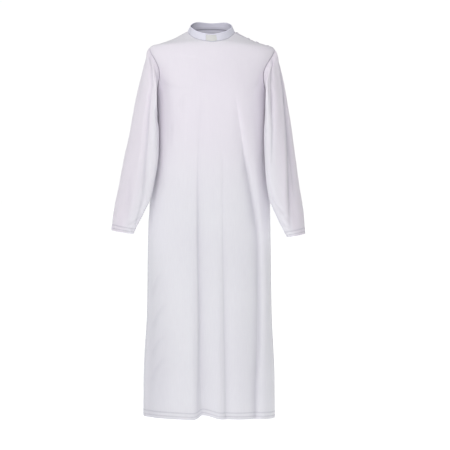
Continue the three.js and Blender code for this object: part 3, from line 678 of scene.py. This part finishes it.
def edge_distance(points):
    """How far each point is from its row's nearer end, along the row."""
    across = run_lengths(points, 1)
    return np.minimum(across, across[:, -1:] - across)


def groove(distance, line, width=1.5):
    return np.exp(-(((distance - line) / width) ** 2))


def seam_relief(points, seed):
    """Sewn side edges: the cloth rolls in at the seam and puckers slightly beside it."""
    distance = edge_distance(points)
    pucker = waves(seed, 14, 16, 34)(points[..., 2], distance * 0.8)
    relief = -SEAM_ROLL * groove(distance, 0, 1.8)
    relief += 0.55 * np.exp(-distance / 11) * pucker * (1 - np.exp(-distance / 2))
    # The seam line is darker: partly the seam allowance showing through, partly painted shade in its groove.
    return relief, SEAM_TONE * groove(distance, 0, 2.2)


def turned_up(distance, fold, lines):
    """A turned-up edge: a slightly thicker band whose stitch lines are drawn in. Also gives the lines."""
    sewn_and_shade = sum(groove(distance, line) for line in lines)
    return STANDS_OUT * (1 - smoothstep(distance, fold - 1, fold + 3)) - DRAWN_IN * sewn_and_shade, sewn_and_shade


def hem_relief(z_from_hem, along, seed):
    relief, sewn_and_shade = turned_up(z_from_hem, HEM_FOLD, HEM_LINES)
    pucker = groove(z_from_hem, HEM_LINES[0], 14) * waves(seed, 12, 12, 30)(along, z_from_hem * 0.5)
    # The stitch lines are darker, partly painted shade in their grooves.
    return relief + 0.45 * pucker, HEM_TONE * sewn_and_shade


def build_panel(panel):
    rows, ovals = panel_rows(panel)
    points, shaded = panel_points(panel, rows, ovals, panel_shares(panel))
    out = grid_normals(points)
    relief, sewn_and_shade = seam_relief(points, panel.seam_seed)
    hem, hem_sewn_and_shade = hem_relief(rows[:, :1] - HEM_Z, points[: len(rows), :, 0], panel.hem_seed)
    relief[: len(rows)] += hem
    # The hem lines and the painted crease shade join the seam lines' darker colour.
    sewn_and_shade[: len(rows)] += hem_sewn_and_shade + shaded
    # The shoulder's stitch line is drawn in and darker, partly painted shade in its groove.
    shoulder_line = SHOULDER_TONE * groove(edge_distance(points)[len(rows) :], SHOULDER_STITCH)
    relief[len(rows) :] -= shoulder_line
    sewn_and_shade[len(rows) :] += shoulder_line
    points = points + out * relief[..., None]
    out = grid_normals(points)
    levels = np.concatenate([rows[:, 0], ovals[:, 0]])
    left, right = (np.concatenate([panel.sign * rows[:, i], 0 * ovals[:, 0]]) for i in (2, 3))
    ends = [body_normal(angle, np.minimum(levels, -4)) for angle in (left, np.pi - right)]
    out[:, 0], out[:, -1] = ends[:: panel.sign]
    wall = np.where(levels < HEM_Z + HEM_FOLD + 1, 2 * CLOTH, CLOTH)[:, None, None]
    level = points[..., 2]
    # Painted light: a pinker cast up the body, where the light is pinker, fading on the shoulders.
    pink_light_cast = 0.5 * smoothstep(level, *PINK_LIGHT_COMES) * (1 - 0.7 * smoothstep(level, *PINK_LIGHT_FADES))
    piece = shell(f"{panel.name}_cloth", ROBE, points, out, wall, np.minimum(sewn_and_shade, 1), pink_light_cast,
                  nodes=[f"{panel.name}_panel"], slot="robe_cloth")
    return piece, points, out, rows


# ---- Sleeves ----------------------------------------------------
SLEEVE_COLUMNS = 112
CUFF_ROWS = (42, 36, 31, 27, 24, 21, 20, 19, 18, 17, 14, 11, 9.8, 8.8, 8, 7, 6, 4, 2, 1, 0)


def sleeve_length(side):
    return SLEEVES[side][0][2] - SLEEVES[side][-1][2]


def section_point(side, share, turn):
    """A place on a sleeve's slanted section. Turn 0 is its inner line, 0.25 its front, 0.5 its outer line.
    pull moves its front and back to +X, and away its back alone."""
    outer_x, outer_z, inner_x, inner_z, front, back = (track(SLEEVES[side], i)(share) for i in range(1, 7))
    outer_y, inner_y, pull, away = (track(SLEEVE_DEPTHS, i)(share) for i in range(1, 5))
    outer, inner = point(outer_x, outer_y, outer_z), point(inner_x, inner_y, inner_z)
    across, deep = np.cos(turn * TURN), np.sin(turn * TURN)
    moved = (outer + inner) / 2 + (inner - outer) / 2 * across[..., None]
    moved[..., 0] += pull * deep ** 2 + np.where(deep < 0, -away * deep, 0)
    moved[..., 1] += np.where(deep > 0, -front * deep, -back * deep)
    return moved


def armhole_point(side, turn):
    """Where a turn of a sleeve meets the armhole's line, and the body's normal there."""
    front = turn <= 0.5
    reach = np.where(front, ARMHOLE_FRONT, ARMHOLE_BACK)
    angle, z = armhole(np.where(front, 2 * turn, 2 - 2 * turn), reach)
    signed = np.where(front, angle, -angle)
    signed = signed if side > 0 else np.pi - signed
    return body_point(signed, z), body_normal(signed, z)


def turn_gap(a, b):
    """The distance between two turns round a sleeve, the short way, with its sign."""
    return (a - b + 0.5) % 1 - 0.5


def sleeve_folds(side, share, turn):
    """How deep a sleeve's large folds are."""
    depth = np.zeros_like(share)
    for start, end, start_turn, end_turn, width, deep in SLEEVE_FOLDS[side]:
        progress = np.clip((share - start) / (end - start), 0, 1)
        off = turn_gap(turn, lerp(start_turn, end_turn, progress)) / width
        depth += deep * np.sin(np.pi * progress) ** 0.8 * np.exp(-(off ** 2))
    return depth


def sleeve_creases(side, share, turn, length, girth, calm):
    """How deep a sleeve's creases are. Those that start beside the cap run into its seam."""
    depth = np.zeros_like(share)
    for start, start_turn, end, end_turn, width, deep in SLEEVE_CREASES[side]:
        run = np.array([(end - start) * length, turn_gap(end_turn, start_turn) * float(girth.mean())])
        here = np.stack([(share - start) * length, turn_gap(turn, start_turn) * girth], axis=-1)
        progress = (here @ run) / (run @ run)
        off = np.linalg.norm(here - np.clip(progress, 0, 1)[..., None] * run, axis=-1)
        fade = np.sin(np.pi * np.clip(progress, 0.02, 0.98)) ** 0.6
        depth += deep * fade * np.exp(-((off / width) ** CREASE_POWER)) * (1 if start < 0.1 else calm)
    return depth


def sleeve_points(side, shares, turns, length):
    """A sleeve's outer points, the normals at its seam, and its crease shade. Both sides are made at +X."""
    share, turn = shares[:, None] + 0 * turns, turns + 0 * shares[:, None]
    points = section_point(side, share, turn)
    seam, seam_out = armhole_point(side, turns)
    rest = 1 - smoothstep(share, 0, SLEEVE_CAP)
    correction = seam * (side, 1, 1) - section_point(side, 0 * turns, turns)
    points = points + correction[None] * rest[..., None]
    points[..., 0] -= track(TUCK, 1)(share) * np.maximum(np.sin(turn * TURN), 0) ** 2
    out = grid_normals(points, closed=True)
    girth = np.linalg.norm(np.diff(points, axis=1, append=points[:, :1]), axis=-1).sum(axis=1)[:, None]
    calm = smoothstep(share, 0, 0.06) * (1 - smoothstep(share, 0.94, 0.98))
    creases = sleeve_creases(side, share, turn, length, girth, calm)
    uneven, small = waves(61 + side, 18, 50, 200), waves(71 + side, 16, 20, 50)
    rough = uneven(share * length, np.cos(turn * TURN) * 70 + np.sin(turn * TURN) * 40) * 1.1
    rough += small(share * length, turn * 190) * 0.3 * np.minimum(1, 8 * np.minimum(turn, 1 - turn))
    depth = sleeve_folds(side, share, turn) + 1.3 * creases + calm * rough
    # The last value is painted shade in the creases, by their depth.
    return points - out * depth[..., None], seam_out * (side, 1, 1), SLEEVE_SHADE * np.maximum(creases, 0)


def sleeve_relief(side, from_cap, from_cuff, around):
    """Sewing at a sleeve's two ends: what it lifts or draws in, and how much of its lines shows."""
    near_cap = np.exp(-from_cap / 12) * (1 - np.exp(-from_cap / 3))
    cap = 0.6 * near_cap * waves(83, 12, 16, 34)(around * 3, from_cap) - 0.8 * groove(from_cap, 0, 2.6)
    cuff, lines = turned_up(from_cuff, CUFF_FOLD, CUFF_LINES)
    cuff = cuff + 0.4 * groove(from_cuff, 14, 12) * waves(89 + side, 12, 12, 28)(around, from_cuff)
    # The cap seam and the cuff's lines are darker, partly painted shade in their grooves.
    return cap + cuff, SEAM_TONE * groove(from_cap, 0, 2.6) + CUFF_TONE * lines


def build_sleeve(side):
    """A sleeve from its cap down to its cuff. side is 1 on the wearer's left and -1 on the right."""
    name = "left" if side > 0 else "right"
    length = sleeve_length(side)
    cuff = 1 - np.array(CUFF_ROWS) / length
    shares = np.concatenate([[0, 0.003, 0.007, 0.012], np.linspace(0.02, cuff[0] - 0.008, 132), cuff])
    turns = np.arange(SLEEVE_COLUMNS) / SLEEVE_COLUMNS
    points, seam_out, shaded = sleeve_points(side, shares, turns, length)
    from_cap, from_cuff = (shares * length)[:, None], ((1 - shares) * length)[:, None]
    relief, sewn_and_shade = sleeve_relief(side, from_cap, from_cuff, turns[None, :] * CUFF_GIRTH)
    points = points + grid_normals(points, closed=True) * relief[..., None]
    out = grid_normals(points, closed=True)
    out[0] = seam_out
    wall = np.where(from_cuff < CUFF_FOLD + 1, 2 * CLOTH, CLOTH)[..., None]
    along = run_lengths(points).mean(axis=1, keepdims=True)
    flat = np.stack(np.broadcast_arrays(turns * SLEEVE_GIRTH, along), axis=-1) * MM
    # The painted crease shade joins the stitched lines' darker colour.
    sewn_and_shade = np.minimum(sewn_and_shade + shaded, 1)
    if side < 0:
        points, out = (points * (-1, 1, 1))[:, ::-1], (out * (-1, 1, 1))[:, ::-1]
        flat, sewn_and_shade, turns = flat[:, ::-1], sewn_and_shade[:, ::-1], turns[::-1]
    # Painted light: the pinker cast is stronger on a sleeve's outer side.
    pink_light_cast = lerp(0.1, 0.65, smoothstep(np.minimum(turns, 1 - turns), 0.14, 0.3)) + 0 * sewn_and_shade  # more outside
    piece = shell(f"sleeve_{name}_cloth", ROBE, points[::-1], out[::-1], wall[::-1], sewn_and_shade[::-1], pink_light_cast[::-1],
                  closed=True, flat=flat[::-1], nodes=[f"sleeve_{name}"], slot="robe_cloth")
    return piece, points, out, shares, length


# ---- Collar and tab ---------------------------------------------
def collar_point(angle, share):
    """A place on the collar's outer side, from the neck seam (share 0) to the rim (share 1)."""
    across, forward = np.cos(angle), np.sin(angle)
    front = forward >= 0
    dip = np.abs(forward) ** np.where(front, 1.3, 0.7)
    crest = np.where(front, 0, RIM_CREST * np.sin(2 * angle) ** 2)
    seam = neck_point(angle)
    rim_z = lerp(RIM_SIDE_Z, np.where(front, RIM_FRONT_Z, RIM_BACK_Z), dip) + crest
    rim = point(RIM_SHIFT + RIM_HALF * across, -forward * np.where(front, RIM_FRONT, RIM_BACK), rim_z)
    seam[..., 2] += COLLAR_LIFT
    return lerp(seam, rim, share[..., None])


def collar_grid():
    """Angles and shares of the collar's grid, closer at its sewn lines and round the tab's window."""
    half, quarter, m = TAB_HALF / RIM_FRONT, np.pi / 2, TAB_MARGIN
    edge = np.array([-0.012, -0.006, -0.002, 0.002, 0.006])
    angles = np.unique(np.concatenate([
        np.linspace(OPENING_ANGLE, quarter - half - 0.02, 34), quarter - half - edge,
        np.linspace(quarter - half + 0.02, quarter + half - 0.02, 16), quarter + half + edge,
        np.linspace(quarter + half + 0.02, OPENING_ANGLE + TURN - OPENING_GAP / RIM_HALF, 150),
    ]))
    shares = np.unique(np.concatenate([
        [0, 0.02, 0.045, m - 0.012, m - 0.004, m + 0.004, m + 0.012],
        np.linspace(m + 0.05, 1 - m - 0.05, 12),
        [1 - m - 0.012, 1 - m - 0.004, 1 - m + 0.004, 1 - m + 0.012, 0.94, 0.955, 0.975, 0.99, 1],
    ]))
    return angles, shares


def collar():
    angles, shares = collar_grid()
    angle, share = np.meshgrid(angles, shares)
    points = collar_point(angle, share)
    out = grid_normals(points)
    inner = points - out * COLLAR_WALL
    from_tab = TAB_HALF / RIM_FRONT - np.abs(angle - np.pi / 2)
    low, high = TAB_MARGIN, 1 - TAB_MARGIN
    window = smoothstep(share, low - 0.006, low + 0.006) * (1 - smoothstep(share, high - 0.006, high + 0.006))
    window = window * smoothstep(from_tab, -0.004, 0.004)
    level = share * COLLAR_HEIGHT
    # The stitched lines and the neck seam are darker: partly their own colour, partly painted shade in their
    # grooves.
    low_line, rim_line = (groove(level, line * COLLAR_HEIGHT, 0.9) for line in COLLAR_LINES)
    sewn_and_shade = COLLAR_TONES[0] * low_line + COLLAR_TONES[1] * rim_line
    sewn_and_shade = sewn_and_shade * (1 - window) + 0.6 * groove(level, 0, 1.6)
    relief = 0.18 * waves(97, 12, 14, 30)(angle * 80, share * 40) - 0.35 * (low_line + rim_line)
    relief = (relief + 0.35 * groove(from_tab, -0.022, 0.016)) * (1 - window)
    relief = relief - TAB_RECESS * window - 0.5 * groove(level, 0, 1.2)
    points = points + out * relief[..., None]
    wall = np.linalg.norm(points - inner, axis=-1)[..., None]
    # Painted light: a highlight along the rim, and the whole inner side in the lighter second colour, as if
    # lit though it lies in shade.
    rim = smoothstep(share, 0.92, 0.935)
    piece = shell("collar_cloth", COLLAR, points, unit(points - inner), wall, sewn_and_shade, rim, inside_light=1,
                  nodes=["collar"], slot="collar_cloth")
    return piece, angles


def tab():
    half = (TAB_HALF - PLATE_SIDE) / RIM_FRONT
    margin = TAB_MARGIN + 0.03
    shares = lerp(margin, 1 - margin, np.array([0, 0.015, 0.04, *np.linspace(0.1, 0.9, 12), 0.96, 0.985, 1]))
    angles = np.pi / 2 + half * np.array([-1, -0.985, -0.95, *np.linspace(-0.88, 0.88, 22), 0.95, 0.985, 1])
    angle, share = np.meshgrid(angles, shares)
    face = collar_point(angle, share)
    from_side = 1 - np.abs(angle - np.pi / 2) / half
    edge = np.minimum(from_side, 2 * np.minimum(share - margin, 1 - margin - share))
    rounding = -0.35 * np.exp(-edge / 0.025)[..., None]
    out = grid_normals(face)
    points = face + out * (PLATE + PLATE_GAP - TAB_RECESS + rounding)
    shell("tab_plate", TAB, points, out, PLATE + rounding, nodes=["collar_tab"], slot="tab")


def neck_tape(angles):
    """The tape over the neck seam, inside the collar."""
    inside = angles[(angles > OPENING_ANGLE + 0.06) & (angles < OPENING_ANGLE + TURN - 0.08)][::2]
    shares = np.array([-0.24, -0.22, -0.14, -0.07, -0.03, 0, 0.03, 0.09, 0.2, 0.3, 0.36, 0.385, 0.4])
    angle, share = np.meshgrid(inside, shares)
    upper = np.maximum(share, 0)
    out = grid_normals(collar_point(angle, upper + share * 0.001 + 0.2))
    edge = np.minimum(share - shares[0], shares[-1] - share)
    bulge = 0.4 * groove(share, 0.01, 0.05) + 0.25 * np.minimum(1, edge / 0.02)
    points = collar_point(angle, upper) - out * (COLLAR_WALL + 0.9 + bulge[..., None])
    points[..., 2] += np.minimum(share, 0) * lerp(20, 62, smoothstep(-np.sin(angle), 0, 0.5))
    # The tape's stitched lines are darker, partly painted shade in their grooves.
    lines = groove(share, 0, 0.05) + 0.4 * groove(share, -0.2, 0.03)
    points, out, lines = points[:, ::-1], -out[:, ::-1], lines[:, ::-1]
    return shell("neck_tape", COLLAR, points, out, 0.5, lines, 0.6, slot="collar_cloth")


# ---- Placket ----------------------------------------------------
def placket():
    """The strip beside the shoulder seam, with its grid of points and normals."""
    rows, ovals = panel_rows(FRONT)
    shares = PLACKET_SHARE * np.array([0, 0.03, 0.08, 0.16, *np.linspace(0.24, 0.76, 8), 0.84, 0.92, 0.97, 1])
    points, _ = panel_points(FRONT, rows[rows[:, 0] > TIP_Z - 6], ovals, shares, plain=True)
    points, out = points[1:-1], grid_normals(points)[1:-1]
    length, edge = run_lengths(points[:, len(shares) // 2])[:, None], edge_distance(points)
    ends = np.minimum(length, length[-1] - length)
    line = groove(edge, PLACKET_STITCH, 0.5)
    relief = 1.35 - 0.5 * np.exp(-edge / 0.8) - 0.3 * np.exp(-ends / 0.8) - 0.28 * line
    relief = relief + 0.16 * waves(101, 12, 9, 26)(length, edge)
    points = points + out * relief[..., None]
    # The stitch line and the edges are darker, partly painted shade in the groove and under the edge; the
    # second colour is the robe's painted pinker cast of the light.
    sewn_and_shade = np.minimum(0.5 * line + 0.6 * groove(edge, 0, 0.9), 1)
    piece = shell("placket_cloth", ROBE, points, out, 1.1, sewn_and_shade, 0.5, nodes=["shoulder_placket"],
                  slot="robe_cloth")
    return piece, points, out


# Radius and height of each ring of a button, from its face to its underside, before it is made less high
BUTTON_PROFILE = (
    (0.001, 1.25), (0.4, 1.25), (0.7, 1.25), (0.95, 1.25), (1.15, 1.25), (1.35, 1.26), (1.6, 1.28),
    (1.9, 1.3), (2.3, 1.33), (2.7, 1.4), (3.0, 1.55), (3.25, 1.85), (3.45, 2.1), (3.65, 2.2), (3.9, 2.2),
    (4.15, 2.1), (4.32, 1.9), (4.4, 1.6), (4.4, 0.7), (4.3, 0.35), (4.05, 0.1), (3.6, 0), (2, 0), (0.001, 0),
)
BUTTON_TURNS = (0.4, 1.1, 0.1, 0.8)


def button_points():
    """A four-hole button: rings of points from the middle of its face round to its underside."""
    high = BUTTON_HEIGHT / max(height for _, height in BUTTON_PROFILE)
    turns = np.linspace(0, TURN, 49)[:-1]
    rings = np.array([[(radius * math.cos(a), radius * math.sin(a), height * high) for a in turns]
                      for radius, height in BUTTON_PROFILE])
    face = rings[:12]
    for x in (BUTTON_HOLE, -BUTTON_HOLE):
        for y in (BUTTON_HOLE, -BUTTON_HOLE):
            off = np.hypot(face[..., 0] - x, face[..., 1] - y)
            face[..., 2] -= 0.8 * (1 - smoothstep(off, 0.28, 0.62))
    return rings


def button(number, distance, line, line_out):
    """A button at a distance from the middle of the neck, and its two bars of thread."""
    after = int(np.argmax(line[:, 0] < distance))
    share = (line[after - 1, 0] - distance) / (line[after - 1, 0] - line[after, 0])
    up = unit(lerp(line_out[after - 1], line_out[after], share))
    middle = lerp(line[after - 1], line[after], share) + up * BUTTON_GAP
    along = unit(line[after] - line[after - 1])
    turn = BUTTON_TURNS[number - 1]
    across = along * math.cos(turn) + np.cross(up, along) * math.sin(turn)
    forward = np.cross(up, across)
    rings = button_points()
    placed = middle + rings[..., :1] * across + rings[..., 1:2] * forward + rings[..., 2:] * up
    index = np.arange(rings[..., 0].size).reshape(rings.shape[:2])
    after = np.roll(index, -1, axis=1)
    faces = np.stack([index[:-1], index[1:], after[1:], after[:-1]], axis=-1).reshape(-1, 4).tolist()
    faces += [index[0].tolist(), index[-1][::-1].tolist()]
    mesh_piece(f"button_{number}_disc", BUTTON, placed, faces, nodes=[f"button_{number}"], slot="buttons")
    holes = [middle + across * x + up * BAR_HEIGHT for x in (-BUTTON_HOLE, BUTTON_HOLE)]
    return [(hole - forward * BUTTON_HOLE, hole + forward * BUTTON_HOLE, up) for hole in holes]


# ---- Stitches ---------------------------------------------------
# How far along a stitch each of its rings lies, its lift and width there, and the corners of a ring
STITCH_RINGS = ((0, -0.12, 0.5), (0.18, 0.75, 1), (0.5, 1, 1.1), (0.82, 0.75, 1), (1, -0.12, 0.5))
STITCH_CORNERS = ((-1, 0), (-0.5, 0.85), (0.5, 0.85), (1, 0), (0, -0.5))


def stitch_mesh(name, stitches, width=0.55, height=0.3):
    """Short rounded threads, each from one place to another on the cloth, with its upward direction."""
    vertices, faces = [], []
    for a, b, up in stitches:
        side = unit(np.cross(unit(b - a), up))
        base = len(vertices)
        for share, lift, wide in STITCH_RINGS:
            middle = lerp(a, b, share)
            for across, rise in STITCH_CORNERS:
                off = side * across * wide * width / 2 + up * (rise * lift + 0.02) * height
                vertices.append(middle + off)
        for ring in range(base, base + 20, 5):
            for k in range(5):
                p, q = ring + k, ring + (k + 1) % 5
                faces.append([p, q, q + 5, p + 5])
        faces.append([base + k for k in range(4, -1, -1)])
        faces.append([base + 20 + k for k in range(5)])
    return mesh_piece(name, THREAD, vertices, faces, slot="robe_cloth")


def stitches_along(line, out, length=2.7, gap=0.9, lift=0.05):
    """Stitches along a line of points on the cloth."""
    run = run_lengths(line)

    def along(values, distance):
        return np.array([np.interp(distance, run, values[:, k]) for k in range(3)])

    def place(distance):
        return along(line, distance) + lift * unit(along(out, distance))

    starts = np.arange(gap, run[-1] - length, length + gap)
    return [(place(s), place(s + length), unit(along(out, s + length / 2))) for s in starts]


def row_at(points, out, keys, value):
    """The row of a grid where an increasing key has a value."""
    i = int(np.clip(np.searchsorted(keys, value), 1, len(keys) - 1))
    t = (value - keys[i - 1]) / (keys[i] - keys[i - 1])
    return lerp(points[i - 1], points[i], t), unit(lerp(out[i - 1], out[i], t))


# ---- Building it ------------------------------------------------
front_piece, *front_grid = build_panel(FRONT)
back_piece, *back_grid = build_panel(BACK)
hem_stitches = []
for points, out, rows in (front_grid, back_grid):
    for line in HEM_LINES:
        row, row_out = row_at(points, out, rows[:, 0], HEM_Z + line)
        hem_stitches += stitches_along(row[1:-1], row_out[1:-1])
hem_thread = stitch_mesh("hem_stitches", hem_stitches)

sleeve_pieces, cuff_threads = [], []
for side, side_name in ((1, "left"), (-1, "right")):
    piece, points, out, shares, length = build_sleeve(side)
    sleeve_pieces.append(piece)
    cuff_stitches = []
    for line in CUFF_LINES:
        row, row_out = row_at(points, out, shares, 1 - line / length)
        cuff_stitches += stitches_along(np.append(row, row[:1], 0), np.append(row_out, row_out[:1], 0))
    cuff_threads.append(stitch_mesh(f"cuff_{side_name}_stitches", cuff_stitches))

collar_piece, collar_angles = collar()
tab()
tape_piece = neck_tape(collar_angles)
collar_stitches = []
for line in COLLAR_LINES:
    angles = np.linspace(OPENING_ANGLE + 0.03, OPENING_ANGLE + TURN - 0.05, 260)
    grid = np.array([collar_point(angles, np.full_like(angles, line + d)) for d in (-0.01, 0, 0.01)])
    collar_stitches += stitches_along(grid[1], grid_normals(grid)[1], 2.4, 0.8, -0.3)
collar_thread = stitch_mesh("collar_stitches", collar_stitches, 0.45, 0.25)

placket_piece, points, out = placket()
placket_stitches, button_bars = [], []
for column in (3, points.shape[1] - 4):
    placket_stitches += stitches_along(points[:, column], out[:, column], 2.2, 0.8)
for number, distance in enumerate(BUTTON_PLACES, 1):
    middle_column = points.shape[1] // 2
    button_bars += button(number, distance, points[:, middle_column], out[:, middle_column])
placket_thread = stitch_mesh("placket_stitches", placket_stitches, 0.45, 0.25)
stitch_mesh("button_threads", button_bars, 0.5, 0.5)

# ---- Studio, in metres ------------------------------------------
FLOOR_LEVEL, FLOOR_REACH = -1.47, 40.0
AMBIENT, AMBIENT_SLOPE = 0.27, (-0.1, -0.05, 0.1)
# name, place, target, size, watts, colour
LIGHTS = (
    ("key", (-0.45, -2.6, 1.1), (0, 0, -0.3), 1.2, 19, (1, 0.97, 0.98)),
    ("top", (-0.5, -1.2, 2.05), (0, 0, -0.4), 1.4, 17, (1, 0.97, 0.985)),
    ("back", (2.0, 2.8, 0.9), (0, 0, -0.6), 1.6, 16, (1, 1, 1)),
)
CAMERA_PLACE, CAMERA_DOWN, CAMERA_LENS = (0.052, -3.6, -0.5415), 2.4, 80


def floor():
    mesh = bpy.data.meshes.new("studio_floor")
    far = FLOOR_REACH
    corners = [(x, y, FLOOR_LEVEL) for x, y in ((-far, -far), (far, -far), (far, far), (-far, far))]
    mesh.from_pydata(corners, [], [(0, 1, 2, 3)])
    n = Material("studio_floor", Roughness=0.9, Specular_IOR_Level=0.1, Base_Color=(0.93, 0.93, 0.93, 1),
                 Emission_Color=(1, 1, 1, 1), Emission_Strength=0.8)
    mesh.materials.append(n.material)
    ground = new_object("studio_floor", mesh)


def soft_light(name, place, target, size, watts, colour):
    data = bpy.data.lights.new(name, "AREA")
    data.shape, data.size, data.energy, data.color = "DISK", size, watts, colour
    lamp = new_object(name, data)
    lamp.location = place
    lamp.rotation_euler = (Vector(target) - Vector(place)).to_track_quat("-Z", "Y").to_euler()


def studio():
    """White all round to the eye. The light from it is soft, stronger from the front, left and above."""
    world = bpy.data.worlds.new("studio")
    bpy.context.scene.world = world
    world.use_nodes = True
    n = Nodes(world.node_tree)
    seen = n.tree.nodes["Background"]
    seen.inputs["Color"].default_value = (1, 1, 1, 1)
    seen.inputs["Strength"].default_value = 1.02
    direction, strength = n.node("TexCoord", "Generated", {}), AMBIENT
    for axis, slope in zip("XYZ", AMBIENT_SLOPE):
        along = n.node("SeparateXYZ", axis, {0: direction})
        strength = n.node("Math", 0, {0: along, 1: slope, 2: strength}, operation="MULTIPLY_ADD")
    lighting = n.node("Background", 0, {"Color": (0.95, 1, 0.985, 1), "Strength": strength})
    is_seen = n.node("LightPath", "Is Camera Ray", {})
    both = n.node("MixShader", 0, {0: is_seen, 1: lighting, 2: seen.outputs[0]})
    n.tree.links.new(both, n.tree.nodes["World Output"].inputs["Surface"])
    for light in LIGHTS:
        soft_light(*light)
    bpy.context.scene.view_settings.view_transform = "Standard"
    bpy.context.scene.view_settings.look = "None"


def camera():
    data = bpy.data.cameras.new("camera")
    data.lens, data.sensor_width = CAMERA_LENS, 36
    view = new_object("camera", data)
    view.location = CAMERA_PLACE
    view.rotation_euler = (math.radians(90 - CAMERA_DOWN), 0, 0)
    bpy.context.scene.camera = view


floor()
studio()
camera()
